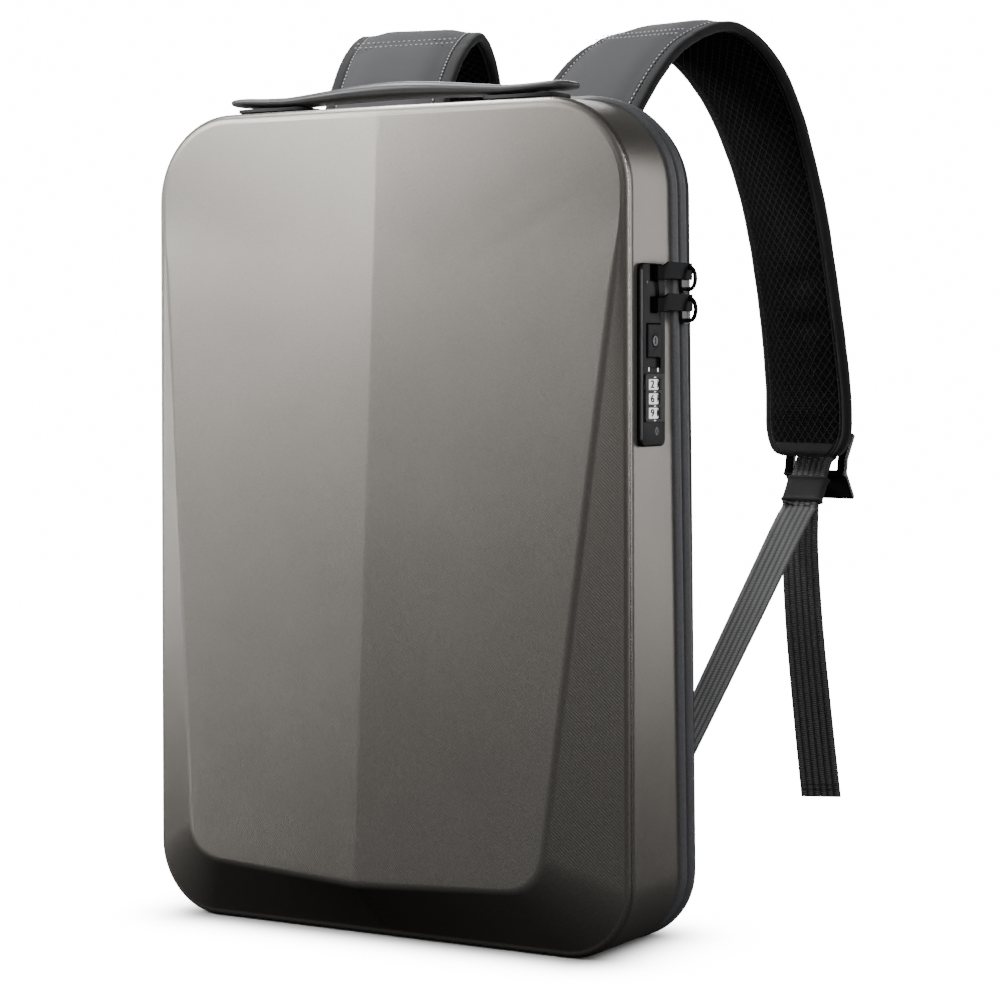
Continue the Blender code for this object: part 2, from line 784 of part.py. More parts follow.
def build_pull(label, level, zip_line, base, colour):
    """A bent plate: its nose drops into the lock's slot, its eye holds the bridge's upper leg."""
    nose_y = LOCK_Y + PULL_SLOT_Y
    nose_x = lock_face_x(nose_y) - PULL_SLOT_DEPTH + SEAM_GAP * 2
    stand = base + PULL_STAND
    centre = level + BRIDGE_RADIUS - PULL_HEIGHT / 4
    slant = zip_line + PULL_OVERHANG
    nose_half = PULL_SLOT_WIDTH / 2 - SEAM_GAP
    route = [
        Vector((nose_x, nose_y + nose_half * 0.4)),
        Vector((mix(nose_x, stand, 0.55), nose_y + nose_half * 0.4)),
        Vector((mix(nose_x, stand, 0.85), nose_y + nose_half * 1.2)),
        Vector((stand, nose_y + nose_half * 2.6)),
        Vector((stand, slant)),
    ]
    half_t = PULL_THICKNESS / 2
    sections = []
    for i, point in enumerate(route):
        ahead = route[min(i + 1, len(route) - 1)] - route[max(i - 1, 0)]
        ahead.normalize()
        aside = Vector((ahead.y, -ahead.x)) * half_t
        nose = i < 3
        middle = -PULL_NOSE_DROP if nose else 0.0
        half = (PULL_NOSE_HEIGHT if nose else PULL_HEIGHT) / 2
        sections.append([
            Vector((edge.x, edge.y, middle + half * end))
            for edge, end in (
                (point - aside, -1), (point - aside, 1), (point + aside, 1), (point + aside, -1),
            )
        ])
    bm, _ = loft(sections)
    pull = add_object(
        f"zip_pull_{label}", bm, colour, 0.25, 0.3, place=(0.0, 0.0, centre), smooth=0,
    )
    eye = bmesh.new()
    eye_z = level + BRIDGE_RADIUS - centre
    radius = BRIDGE_WIRE + PULL_EYE_CLEARANCE
    cylinder(
        eye, radius, stand - PULL_THICKNESS, stand + PULL_THICKNESS, 12, "X",
        centre=(zip_line, eye_z),
    )
    apply_boolean(pull, add_cutter(f"pull_eye_{label}", eye, pull), "DIFFERENCE")


def lock_face_x(y):
    """The lock plate's outer face at a depth on the side wall."""
    depth = -front_y(LOCK_Z) - FRONT_ROUND + zip_y(LOCK_Z)
    share = (zip_y(LOCK_Z) - y) / depth
    return HALF_WIDTH - SHELL_DRAFT * share + SEAM_GAP + LOCK_PLATE


# Carry handle

def shell_top_z():
    """The shell's top under the handle, which the draft lowers a little."""
    depth = SHELL_DEPTH - FRONT_ROUND + zip_y(BODY_HEIGHT)
    share = (zip_y(BODY_HEIGHT) - HANDLE_Y + HANDLE_WIDTH / 2) / depth
    return BODY_HEIGHT - SHELL_DRAFT * (share - HANDLE_WIDTH / depth)


def build_handle():
    floor = shell_top_z() + SEAM_GAP
    stations = 16
    rows = []
    for i in range(stations + 1):
        u = -1 + 2 * i / stations
        end_share = max((abs(u) - 0.90) / 0.10, 0.0)
        middle_share = 0.5 + 0.5 * math.cos(math.pi * min(abs(u) / 0.85, 1.0))
        round_end = math.sqrt(max(1 - end_share ** 2, 0.06))
        width = HANDLE_WIDTH * mix(0.86, 1.0, middle_share) * round_end
        thick = mix(HANDLE_END_THICKNESS, HANDLE_MIDDLE_THICKNESS, middle_share)
        thick *= mix(1.0, 0.7, end_share)
        low = floor + mix(HANDLE_END_LIFT, HANDLE_MIDDLE_LIFT, middle_share)
        middle_z = low + mix(HANDLE_END_THICKNESS, HANDLE_MIDDLE_THICKNESS, middle_share) / 2
        ring = []
        for k in range(12):
            a = 2 * math.pi * (k + 0.5) / 12
            c, s = math.cos(a), math.sin(a)
            ring.append(Vector((
                HANDLE_LENGTH / 2 * u,
                HANDLE_Y + width / 2 * math.copysign(abs(c) ** 0.8, c),
                middle_z + thick / 2 * math.copysign(abs(s) ** 0.8, s),
            )))
        rows.append(ring)
    bm, _ = loft(rows)
    add_object("carry_handle", bm, (0.03, 0.03, 0.032), 0.5)

    for side, label in ((-1, "left"), (1, "right")):
        bm = bmesh.new()
        outer = HANDLE_LENGTH / 2 - HANDLE_BASE_INSET
        inner = outer - HANDLE_BASE_LENGTH
        xs = sorted((side * inner, side * outer))
        half = HANDLE_BASE_WIDTH / 2
        box(bm, (xs[0], HANDLE_Y - half, floor), (xs[1], HANDLE_Y + half, floor + HANDLE_BASE_THICKNESS))
        upright = [e for e in bm.edges if abs(e.verts[0].co.z - e.verts[1].co.z) > 0.001]
        bevel(bm, upright, HANDLE_BASE_WIDTH * 0.2, 2)
        base = add_object(f"handle_base_{label}", bm, (0.02, 0.02, 0.021), 0.5)
        pins = bmesh.new()
        pin_top = floor + HANDLE_END_LIFT - SEAM_GAP
        for share in (0.22, 0.42):
            x = side * (outer - HANDLE_BASE_LENGTH * share)
            cylinder(
                pins, HANDLE_PIN_RADIUS, floor + HANDLE_BASE_THICKNESS / 2, pin_top, 8,
                centre=(x, HANDLE_Y),
            )
        apply_boolean(base, add_cutter(f"handle_pins_{label}", pins), "UNION")


# Shoulder straps

# Each row: share of the reach behind the back panel; height, as a share of the rise from root to
# crest while the strap climbs and of the drop from crest to end while it falls; share of the
# face's turn outward
STRAP_CLIMB = (
    (0.000, 0.00, 0.00), (0.004, 0.17, 0.00), (0.050, 0.38, 0.15), (0.150, 0.62, 0.32),
    (0.270, 0.84, 0.42), (0.400, 0.965, 0.47),
)
STRAP_FALL = (
    (0.510, 0.000, 0.52), (0.620, 0.030, 0.62), (0.720, 0.095, 0.75), (0.800, 0.190, 0.88),
    (0.865, 0.310, 0.98), (0.915, 0.440, 1.00), (0.962, 0.630, 0.98), (0.992, 0.800, 0.90),
    (1.000, 0.920, 0.82), (0.996, 1.000, 0.80),
)


def strap_plan(side, reach):
    """Plan position and heading of a strap at a distance behind the back panel."""
    steps = 24
    x = STRAP_ROOT_X
    y = 0.0
    for i in range(steps):
        turn = STRAP_SPLAY + STRAP_TURN * reach * (i + 0.5) / steps / STRAP_REACH
        heading = math.radians(turn)
        x += reach / steps * math.sin(heading)
        y += reach / steps * math.cos(heading)
    heading = math.radians(STRAP_SPLAY + STRAP_TURN * reach / STRAP_REACH)
    return Vector((side * x, y, 0.0)), heading


def strap_stations(side):
    """The middle line of a strap, with its width direction at each station."""
    rise = STRAP_LEFT_RISE if side < 0 else 0.0
    crest = STRAP_CREST_Z + rise
    lines = [(share, mix(STRAP_ROOT_Z, crest, up), turn) for share, up, turn in STRAP_CLIMB]
    lines += [(share, mix(crest, STRAP_END_Z, down), turn) for share, down, turn in STRAP_FALL]
    root_y = panel_back_y(STRAP_ROOT_Z) + SEAM_GAP + STRAP_THICKNESS / 2
    points = []
    headings = []
    for share, z, turn in lines:
        plan, _ = strap_plan(side, STRAP_REACH * share)
        points.append(Vector((plan.x, root_y + plan.y, z)))
        heading = math.radians(STRAP_FACE_TURN * turn)
        headings.append(Vector((math.cos(heading), -side * math.sin(heading), 0.0)))
    return smooth_path(points, 2), smooth_path(headings, 2)


def strap_section(fullness):
    edge = STRAP_EDGE / 2
    middle = mix(STRAP_EDGE, STRAP_THICKNESS, fullness) / 2
    return [
        (-1.0, -edge), (-1.0, edge), (-0.78, mix(edge, middle, 0.85)), (0.0, middle),
        (0.78, mix(edge, middle, 0.85)), (1.0, edge), (1.0, -edge),
        (0.78, -mix(edge, middle, 0.85)), (0.0, -middle), (-0.78, -mix(edge, middle, 0.85)),
    ]


def build_strap(side, label):
    path, across = strap_stations(side)
    last = len(path) - 1
    rows = []
    round_off = (0.62, 0.86, 0.97)
    for i, point in enumerate(path):
        along = (path[min(i + 1, last)] - path[max(i - 1, 0)]).normalized()
        wide = (across[i] - along * across[i].dot(along)).normalized()
        face = wide.cross(along)
        from_end = last - i
        share = round_off[from_end] if from_end < len(round_off) else 1.0
        fullness = min(i / 6, 1.0) * (1.0 if from_end else 0.3)
        width = mix(STRAP_WIDTH, STRAP_END_WIDTH, max(2 * i / last - 1, 0.0))
        rows.append([
            point + wide * (width / 2 * share * s) + face * n
            for s, n in strap_section(fullness)
        ])
    bm, _ = loft(rows)
    add_object(f"shoulder_strap_{label}", bm, (0.05, 0.05, 0.053), 0.75)
    return path, across


# Buckles, webbing and keepers

def buckle_place(side, end):
    """The buckle's frame behind the strap's end: X across, Y backward, Z up along the webbing."""
    turn = Matrix.Rotation(-side * math.radians(BUCKLE_TURN), 4, "Z")
    lean = Matrix.Rotation(math.radians(-BUCKLE_LEAN), 4, "X")
    spot = end + Vector((0.0, BUCKLE_SETBACK, -BUCKLE_DROP))
    return Matrix.Translation(spot) @ turn @ lean


def build_buckle(label, place):
    """A ladder buckle: a top bar for the strap's loop, a middle bar for the webbing, and a
    lower bar, set back behind the webbing, with a lifting tab."""
    half = BAR_DEPTH / 2
    low_front = PLY_SPACING - half + SEAM_GAP
    low_back = low_front + BAR_DEPTH
    knee = BUCKLE_LOW + BAR_HEIGHT
    profile = [
        (-half, BUCKLE_TOP), (half, BUCKLE_TOP), (half, BUCKLE_BAR_Z - BAR_HEIGHT),
        (low_back, knee), (TAB_REACH, TAB_LOW + TAB_THICKNESS),
        (TAB_REACH, TAB_LOW), (TAB_REACH - TAB_THICKNESS, TAB_LOW),
        (low_back, BUCKLE_LOW), (low_front, BUCKLE_LOW), (low_front, knee),
        (-half, BUCKLE_BAR_Z - BAR_HEIGHT),
    ]
    rows = []
    for x in (-BUCKLE_WIDTH / 2, BUCKLE_WIDTH / 2):
        rows.append([Vector((x, y, z)) for y, z in profile])
    bm, _ = loft(rows)
    buckle = add_object(f"buckle_{label}", bm, (0.015, 0.015, 0.016), 0.25, smooth=0)
    buckle.matrix_world = place
    windows = bmesh.new()
    inside = WEBBING_WIDTH / 2 + SEAM_GAP * 3
    deep = BAR_DEPTH * 2
    box(
        windows,
        (-inside, -deep, BUCKLE_BAR_Z + BAR_HEIGHT / 2),
        (inside, deep, BUCKLE_TOP - BAR_HEIGHT),
    )
    box(
        windows,
        (-inside, -deep, knee),
        (inside, deep, BUCKLE_BAR_Z - BAR_HEIGHT / 2),
    )
    apply_boolean(buckle, add_cutter(f"buckle_windows_{label}", windows, buckle), "DIFFERENCE")


def webbing_section():
    half = WEBBING_THICKNESS / 2
    return [(-1.0, -half), (-1.0, half), (1.0, half), (1.0, -half)]


def keeper_height():
    """The keeper's middle in the buckle's frame: just under the lower bar."""
    return BUCKLE_LOW - KEEPER_SPACING - KEEPER_LENGTH / 2


def bar_wrap(off, over, middle, steps):
    """Points half way round a bar, squared off so the webbing clears its corners."""
    points = []
    for k in range(steps + 1):
        a = math.pi * k / steps
        c = math.cos(a)
        points.append((
            -off * math.copysign(abs(c) ** 0.4, c), middle + over * math.sin(a) ** 0.4,
        ))
    return points


def build_adjuster(side, label, place):
    """One length of webbing: sewn to the back panel, up through the keeper, round the buckle's
    middle bar, back through the keeper and down to its free tail."""
    off = BAR_DEPTH / 2 + SEAM_GAP + WEBBING_THICKNESS / 2
    over = BAR_HEIGHT / 2 + SEAM_GAP * 2 + WEBBING_THICKNESS / 2
    inner = PLY_SPACING - off
    keeper = keeper_height()
    low = keeper - KEEPER_LENGTH * 0.6
    high = keeper + KEEPER_LENGTH / 2

    def at(y, z):
        return place @ Vector((0.0, y, z))

    slant = math.radians(ANCHOR_SLANT)
    climb = Vector((-side * math.sin(slant), 0.0, math.cos(slant)))
    foot = Vector((side * ANCHOR_X, 0.0, ANCHOR_Z))
    lift = SEAM_GAP * 2 + WEBBING_THICKNESS / 2
    seat = []
    for share, raise_by in ((0.0, 0.0), (0.5, 0.0), (0.9, 2.0)):
        spot = foot + climb * (ANCHOR_LENGTH * share)
        spot.y = panel_back_y(spot.z) + lift + WEBBING_THICKNESS * raise_by
        seat.append(spot)
    run = at(-off, low) - seat[-1]
    front_ply = smooth_path(seat + [
        seat[-1] + run * 0.12, seat[-1] + run * 0.50, seat[-1] + run * 0.90,
        at(-off, low - KEEPER_LENGTH * 0.2), at(-off, low), at(-off, keeper),
        at(-off, high), at(-off, mix(high, BUCKLE_BAR_Z, 0.5)),
    ], 2)
    wrap = [at(y, z) for y, z in bar_wrap(off, over, BUCKLE_BAR_Z, 8)]
    second = smooth_path([
        at(off, BUCKLE_BAR_Z - BAR_HEIGHT * 0.8), at(mix(off, inner, 0.7), -0.4 * BAR_HEIGHT),
        at(inner, -BAR_HEIGHT), at(inner, high), at(inner, keeper), at(inner, low),
    ], 2)
    tail_top = at(inner, low)
    tail_low = Vector((side * TAIL_X, TAIL_Y, TAIL_END_Z))
    fall = tail_low - tail_top
    sag = Vector((0.0, TAIL_SAG, 0.0))
    tail = smooth_path([
        tail_top, tail_top + fall * 0.15 - sag * 0.8, tail_top + fall * 0.40 - sag,
        tail_top + fall * 0.70 - sag * 0.6, tail_low,
    ], 2)[1:]
    path = front_ply + wrap + second + tail
    foot_across = Vector((climb.z, 0.0, -climb.x))
    across_top = (place.to_3x3() @ Vector((1.0, 0.0, 0.0))).normalized()
    turn = math.radians(TAIL_TURN)
    tail_across = Vector((math.cos(turn), -side * math.sin(turn), 0.0))
    across = [
        foot_across.lerp(across_top, min(max(i - 4, 0) / 6, 1.0)).normalized()
        for i in range(len(front_ply))
    ]
    across += [across_top] * (len(wrap) + len(second))
    across += [
        across_top.lerp(tail_across, (i + 1) / len(tail)).normalized() for i in range(len(tail))
    ]
    bm = ribbon(path, across, webbing_section())
    add_object(f"adjuster_webbing_{label}", bm, (0.02, 0.02, 0.021), 0.85)


def build_keeper(label, place):
    """A flat sleeve round both plies, in the buckle's frame."""
    middle = (PLY_SPACING - BAR_DEPTH - SEAM_GAP * 2 - WEBBING_THICKNESS) / 2
    inner_w = WEBBING_WIDTH / 2 + SEAM_GAP * 2
    inner_t = (PLY_SPACING + WEBBING_THICKNESS) / 2 + SEAM_GAP
    rings = []
    for grow, end in ((0.0, -1), (KEEPER_WALL, -1), (KEEPER_WALL, 1), (0.0, 1)):
        w = inner_w + grow
        t = inner_t + grow
        level = keeper_height() + KEEPER_LENGTH / 2 * end
        rings.append([
            Vector((w * a, middle + t * b, level)) for a, b in ((-1, -1), (1, -1), (1, 1), (-1, 1))
        ])
    bm, _ = loft(rings, ring=True)
    keeper = add_object(f"keeper_{label}", bm, (0.06, 0.06, 0.063), 0.8, smooth=0)
    keeper.matrix_world = place


def build_stub(label, place, path, across):
    """The short webbing sewn to the strap's outer face, looped round the buckle's top bar."""
    reach = STRAP_THICKNESS / 2 + SEAM_GAP * 3 + WEBBING_THICKNESS / 2
    off = BAR_DEPTH / 2 + SEAM_GAP * 2 + WEBBING_THICKNESS / 2
    under = BAR_HEIGHT / 2 + SEAM_GAP * 2 + WEBBING_THICKNESS / 2
    bar = BUCKLE_TOP - BAR_HEIGHT / 2
    buckle_across = (place.to_3x3() @ Vector((1.0, 0.0, 0.0))).normalized()
    points = []
    turned = []
    for back in (8, 7, 6, 5):
        along = (path[-back + 1] - path[-back - 1]).normalized()
        face = along.cross(across[-back]).normalized()
        if face.y < 0:
            face = -face
        points.append(path[-back] + face * reach)
        turned.append(across[-back])
    leave = points[-1]
    meet = place @ Vector((0.0, off, bar + BAR_HEIGHT))
    points += [leave.lerp(meet, 0.35), leave.lerp(meet, 0.7)]
    turned += [across[-5].lerp(buckle_across, 0.3), across[-5].lerp(buckle_across, 0.8)]
    wrap = [(off, bar + BAR_HEIGHT)]
    wrap += [(-y, 2 * bar - z) for y, z in bar_wrap(off, under, bar, 8)]
    wrap.append((-off, bar + BAR_HEIGHT * 0.7))
    points += [place @ Vector((0.0, y, z)) for y, z in wrap]
    turned += [buckle_across] * len(wrap)
    bm = ribbon(points, turned, webbing_section())
    add_object(f"strap_loop_{label}", bm, (0.02, 0.02, 0.021), 0.85)


def main():
    clear_scene()
    place = lock_frame()
    bpy.context.view_layer.update()
    build_front_shell(build_lock_opening(place))
    teeth = build_zip()
    build_rear_body()
    build_back_panel()
    build_lock(place)
    for label, sign in (("upper", 1), ("lower", -1)):
        level = LOCK_Z + PULL_MIDDLE_Z + sign * PULL_SPACING / 2
        level += PULL_NOSE_DROP + PULL_HEIGHT / 4 - BRIDGE_RADIUS
        build_slider_and_pull(label, level, teeth)
    build_handle()
    for side, label in ((-1, "left"), (1, "right")):
        path, across = build_strap(side, label)
        place_matrix = buckle_place(side, path[-1])
        build_buckle(label, place_matrix)
        build_stub(label, place_matrix, path, across)
        build_adjuster(side, label, place_matrix)
        build_keeper(label, place_matrix)


main()
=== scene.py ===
# %% [markdown]
# # A hard shell backpack, dressed piece by piece
#
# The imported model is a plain, exact frame: every hard piece sits in its real place and the soft
# ones are simple solids. This lesson loads that frame and builds the surface the eye sees.
# The body is a moulded front shell and a soft back, held together by a zip between two cords.

# %% Load the frame
import math

import bmesh
import bpy
from mathutils import Matrix, Vector, noise


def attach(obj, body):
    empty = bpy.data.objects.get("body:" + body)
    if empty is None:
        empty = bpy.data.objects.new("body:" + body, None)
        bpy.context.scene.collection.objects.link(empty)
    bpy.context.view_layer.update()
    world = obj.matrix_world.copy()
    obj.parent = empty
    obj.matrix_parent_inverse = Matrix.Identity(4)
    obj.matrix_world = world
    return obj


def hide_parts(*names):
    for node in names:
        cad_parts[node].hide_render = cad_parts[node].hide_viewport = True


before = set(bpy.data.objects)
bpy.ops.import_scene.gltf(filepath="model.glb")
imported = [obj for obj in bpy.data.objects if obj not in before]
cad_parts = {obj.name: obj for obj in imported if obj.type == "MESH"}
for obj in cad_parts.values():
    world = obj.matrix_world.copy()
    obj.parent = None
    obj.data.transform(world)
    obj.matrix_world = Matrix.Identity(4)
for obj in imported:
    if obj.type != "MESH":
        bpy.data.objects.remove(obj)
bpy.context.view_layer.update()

# %% [markdown]
# The photograph was taken from the front, 30 degrees round to the side with the lock, by a level
# camera whose frame is shifted down. A level camera keeps the bag's sides upright in the picture,
# so the shift is set on the camera and nothing is tilted.

# %% Camera
VIEW_TURN = math.radians(30.12)
VIEW_REACH = 1.501
VIEW_ASIDE = 0.0425
VIEW_HEIGHT = 0.307
SENSOR_WIDTH = 36
PICTURE_PIXELS = 1000
FOCAL_PIXELS = 2712
HORIZON_PIXELS = 368.4

view_data = bpy.data.cameras.new("view")
view_data.sensor_width = SENSOR_WIDTH
view_data.lens = FOCAL_PIXELS * SENSOR_WIDTH / PICTURE_PIXELS
view_data.shift_y = (HORIZON_PIXELS - PICTURE_PIXELS / 2) / PICTURE_PIXELS
view = bpy.data.objects.new("view", view_data)
bpy.context.collection.objects.link(view)
view.location = (
    VIEW_REACH * math.sin(VIEW_TURN) + VIEW_ASIDE * math.cos(VIEW_TURN),
    -VIEW_REACH * math.cos(VIEW_TURN) + VIEW_ASIDE * math.sin(VIEW_TURN),
    VIEW_HEIGHT,
)
view.rotation_euler = (math.pi / 2, 0, VIEW_TURN)
bpy.context.scene.camera = view
print("lens", round(view_data.lens, 1), "mm")

# %% [markdown]
# Finishes are made of nodes, and most of them are sums. They could be linked one by one, but a
# long sum then fills a page. A Flow is one output of a node, and + - * / on it adds the Math node
# for that sum, so a pattern reads as it would on paper.

# %% Sums made of nodes
class Flow:
    def __init__(self, socket):
        self.socket = socket
        self.tree = socket.id_data

    def __add__(self, other):
        return maths("ADD", self, other)

    def __sub__(self, other):
        return maths("SUBTRACT", self, other)

    def __rsub__(self, other):
        return maths("SUBTRACT", other, self)

    def __mul__(self, other):
        return maths("MULTIPLY", self, other)

    def __truediv__(self, other):
        return maths("DIVIDE", self, other)

    def __mod__(self, other):
        return maths("MODULO", self, other)

    def __pow__(self, other):
        return maths("POWER", self, other)

    def __abs__(self):
        return maths("ABSOLUTE", self)


def fill(socket, value):
    """Link a Flow to a socket, or set the socket to a plain value."""
    if isinstance(value, Flow):
        value.tree.links.new(value.socket, socket)
    else:
        socket.default_value = value


def maths(operation, *values):
    tree = next(v.tree for v in values if isinstance(v, Flow))
    node = tree.nodes.new("ShaderNodeMath")
    node.operation = operation
    for socket, value in zip(node.inputs, values):
        fill(socket, value)
    return Flow(node.outputs[0])


def clamp(value, low, high):
    return maths("MINIMUM", maths("MAXIMUM", value, low), high)


def stripes(value, pitch, phase=0.0):
    """A smooth wave from 0 to 1 along a length in metres."""
    return maths("SINE", value * (2 * math.pi / pitch) + phase) * 0.5 + 0.5


kinds = bpy.types.ShaderNodeMath.bl_rna.properties["operation"].enum_items
print("a Math node knows", len(kinds), "sums")

# %% [markdown]
# Every finish also wants the same few nodes: a place to read, a noise for what is uneven, bumps
# from a height, and a colour between two. Each gets a helper that names only what differs.

# %% Node helpers
def new_finish(name, colour, roughness, metallic=0.0):
    finish = bpy.data.materials.new(name)
    finish.use_nodes = True
    tree = finish.node_tree
    shader = tree.nodes["Principled BSDF"]
    settle(shader, Base_Color=(*colour, 1), Roughness=roughness, Metallic=metallic)
    return finish, tree, shader


def settle(shader, **values):
    """Set or link the shader's sockets by name."""
    for name, value in values.items():
        fill(shader.inputs[name.replace("_", " ")], value)


def apart(vector):
    split = vector.tree.nodes.new("ShaderNodeSeparateXYZ")
    fill(split.inputs[0], vector)
    return [Flow(socket) for socket in split.outputs]


def coordinates(tree, kind="Object"):
    place = Flow(tree.nodes.new("ShaderNodeTexCoord").outputs[kind])
    return place, *apart(place)


def uneven(place, scale, detail):
    node = place.tree.nodes.new("ShaderNodeTexNoise")
    settle(node, Vector=place, Scale=scale, Detail=detail)
    return Flow(node.outputs[0])


def relief(shader, height, distance, strength=1.0):
    bump = height.tree.nodes.new("ShaderNodeBump")
    settle(bump, Height=height, Strength=strength, Distance=distance)
    settle(shader, Normal=Flow(bump.outputs[0]))


def tint(shader, share, first, second):
    """Colour a surface between two colours, by a share from 0 to 1."""
    node = share.tree.nodes.new("ShaderNodeMix")
    node.data_type = "RGBA"
    for socket, value in zip((0, 6, 7), (share, (*first, 1), (*second, 1))):
        fill(node.inputs[socket], value)
    settle(shader, Base_Color=Flow(node.outputs[2]))


print("node helpers ready: finish, place, uneven, relief, tint")

# %% [markdown]
# The shell is a moulded sheet with a bronze-grey satin coat. Close up its front carries a fine
# twill, raised slanting ribs crossed by finer ones, and the coat has a dusting of grain. The
# twill is read off Object coordinates, so it runs straight across both facets, and it fades out
# on the side walls, which only have the grain. The chamfers down the sides, which face halfway
# round, are rubbed a little smoother.

# %% Shell finish
RIB_PITCH = 0.0015
FINE_PITCH = 0.0013
TWILL_FADE = 0.35
CHAMFER_FACING = 0.55


def shell_finish():
    finish, tree, shader = new_finish("shell_coat", (0.40, 0.375, 0.345), 0.38, 0.80)
    place, x, y, z = coordinates(tree)
    twill = stripes(x + z * 0.8, RIB_PITCH) * (stripes(z - x * 1.7, FINE_PITCH) * 0.6 + 0.4)
    normal = Flow(tree.nodes.new("ShaderNodeNewGeometry").outputs["True Normal"])
    facing = apart(normal)[1]
    ahead = clamp((facing * -1.0 - TWILL_FADE) * 3.0, 0.0, 1.0)
    grain = uneven(place, 1000, 4)
    relief(shader, twill * ahead * 0.8 + grain, 0.00006, 0.8)
    shade = grain * 0.5 + uneven(place, 14, 2) * 0.3
    tint(shader, shade, (0.27, 0.251, 0.228), (0.55, 0.518, 0.478))
    chamfer = maths("MAXIMUM", 1.0 - abs(facing + CHAMFER_FACING) * 4.0, 0.0)
    settle(shader, Roughness=grain * 0.12 + (chamfer * -0.25 + 0.34))
    return finish


SHELL_COAT = shell_finish()
print("finish", SHELL_COAT.name)

# %% [markdown]
# The rest of the bag wears cloth, coated cord, moulded plastic and painted metal. Woven cloth is
# two crossing waves of threads. On pieces that bend, the threads follow the piece's own UV map,
# which holds real lengths in metres, so one weave fits every strap. The cords are coated with a
# crossed grain like printed leather, read off Object coordinates.

# %% Cloth and cord finishes
CORD_GRAIN_PITCH = 0.0012


def woven(name, dark, light, pitch, depth, roughness=0.85, sheen=0.25):
    """Plain weave: threads over and under each other, with lint in the colour."""
    finish, tree, shader = new_finish(name, dark, roughness)
    place, x, y, _ = coordinates(tree, "UV")
    weave = abs(stripes(x, pitch) - stripes(y, pitch))
    lint = uneven(place, 900, 4)
    relief(shader, lint * 0.7 + weave, depth, 0.8)
    tint(shader, (weave + lint) * 0.5, dark, light)
    settle(shader, Sheen_Weight=sheen, Sheen_Roughness=0.5)
    return finish


def cord_finish():
    finish, tree, shader = new_finish("cord_coat", (0.045, 0.046, 0.05), 0.32)
    place, x, y, z = coordinates(tree)
    slant, across = y * 1.4, x + z
    crossed = stripes(across + slant, CORD_GRAIN_PITCH) * stripes(across - slant, CORD_GRAIN_PITCH)
    crumb = uneven(place, 1100, 3)
    relief(shader, crumb * 0.8 + crossed, 0.00012, 0.6)
    tint(shader, crumb, (0.110, 0.112, 0.120), (0.240, 0.243, 0.258))
    return finish


BACK_CLOTH = woven("back_cloth", (0.016, 0.016, 0.017), (0.045, 0.045, 0.048), 0.0011, 0.0001)
BINDING_CLOTH = woven(
    "binding_cloth", (0.010, 0.010, 0.011), (0.036, 0.036, 0.039), 0.0009, 0.00014,
)
FACE_CLOTH = woven(
    "face_cloth", (0.054, 0.055, 0.060), (0.080, 0.081, 0.088), 0.0006, 0.00004, 0.75, 0.12,
)
KEEPER_CLOTH = woven("keeper_cloth", (0.022, 0.022, 0.024), (0.050, 0.051, 0.054), 0.0008, 0.0001)
CORD_COAT = cord_finish()
print("cloths", BACK_CLOTH.name, BINDING_CLOTH.name, FACE_CLOTH.name, KEEPER_CLOTH.name)

# %% [markdown]
# The shoulder pads and the back panel are faced with spacer mesh: black netting with a lighter
# lattice of raised lines about 6 mm apart, set on the slant, and pin holes between the lines.
# Webbing has six ribs side by side, each crossed by bars that step half a bar from rib to rib.
# Both follow the UV map, because straps and webbing turn in every direction.

# %% Mesh and webbing finishes
LATTICE_PITCH = 0.0060
HOLE_PITCH = 0.0017
WEBBING_WIDTH = 0.0250
RIB_WIDTH = 0.00417
BAR_PITCH = 0.0014


def net_finish():
    finish, tree, shader = new_finish("spacer_net", (0.012, 0.012, 0.013), 0.8)
    place, x, y, _ = coordinates(tree, "UV")
    lattice = maths("MAXIMUM", *(
        stripes(x + y * slant, LATTICE_PITCH) ** 22.0 for slant in (0.85, -0.85)
    ))
    holes = stripes(x, HOLE_PITCH) * stripes(y, HOLE_PITCH)
    relief(shader, lattice * 2.2 - holes, 0.00035, 0.8)
    bright = lattice * (uneven(place, 700, 2) * 0.9 + 0.35)
    tint(shader, bright, (0.0025, 0.0025, 0.003), (0.065, 0.066, 0.070))
    settle(shader, Specular_IOR_Level=0.2)
    return finish


def webbing_finish():
    finish, tree, shader = new_finish("webbing_weave", (0.02, 0.02, 0.021), 0.55)
    place, x, y, _ = coordinates(tree, "UV")
    rib = maths("FLOOR", (x + WEBBING_WIDTH / 2) / RIB_WIDTH)
    bars = stripes(y + rib % 2.0 * (BAR_PITCH / 2), BAR_PITCH) ** 0.4
    weave = bars * stripes(x, RIB_WIDTH, -math.pi / 2) ** 0.5
    lint = uneven(place, 1500, 3)
    relief(shader, lint * 0.35 + weave, 0.0005, 0.9)
    tint(shader, weave * (lint * 0.9 + 0.35), (0.040, 0.040, 0.042), (0.42, 0.422, 0.43))
    settle(shader, Sheen_Weight=0.15)
    return finish


SPACER_NET = net_finish()
WEBBING_WEAVE = webbing_finish()
print("finishes", SPACER_NET.name, WEBBING_WEAVE.name)

# %% [markdown]
# Hard trim comes next. Moulded plastic has a faint orange peel and a roughness that wanders, and
# painted metal is smoother and glossier. The dials are white where the digits stand, and a faint
# painted glow, light they give off as no lamp does, keeps them as bright as in the photograph.

# %% Hard finishes
def moulded(
    name, colour, roughness, metallic=0.0, peel=0.00003, scale=600, wander=0.12, specular=0.5,
    glow=0.0,
):
    finish, tree, shader = new_finish(name, colour, roughness, metallic)
    place = coordinates(tree)[0]
    relief(shader, uneven(place, scale, 3), peel, 0.5)
    smear = uneven(place, 60, 3)
    tint(shader, smear, colour, tuple(c * 1.35 + 0.003 for c in colour))
    settle(
        shader, Roughness=smear * wander + (roughness - wander / 2), Specular_IOR_Level=specular,
        Emission_Color=(1, 1, 1, 1), Emission_Strength=glow,
    )
    return finish


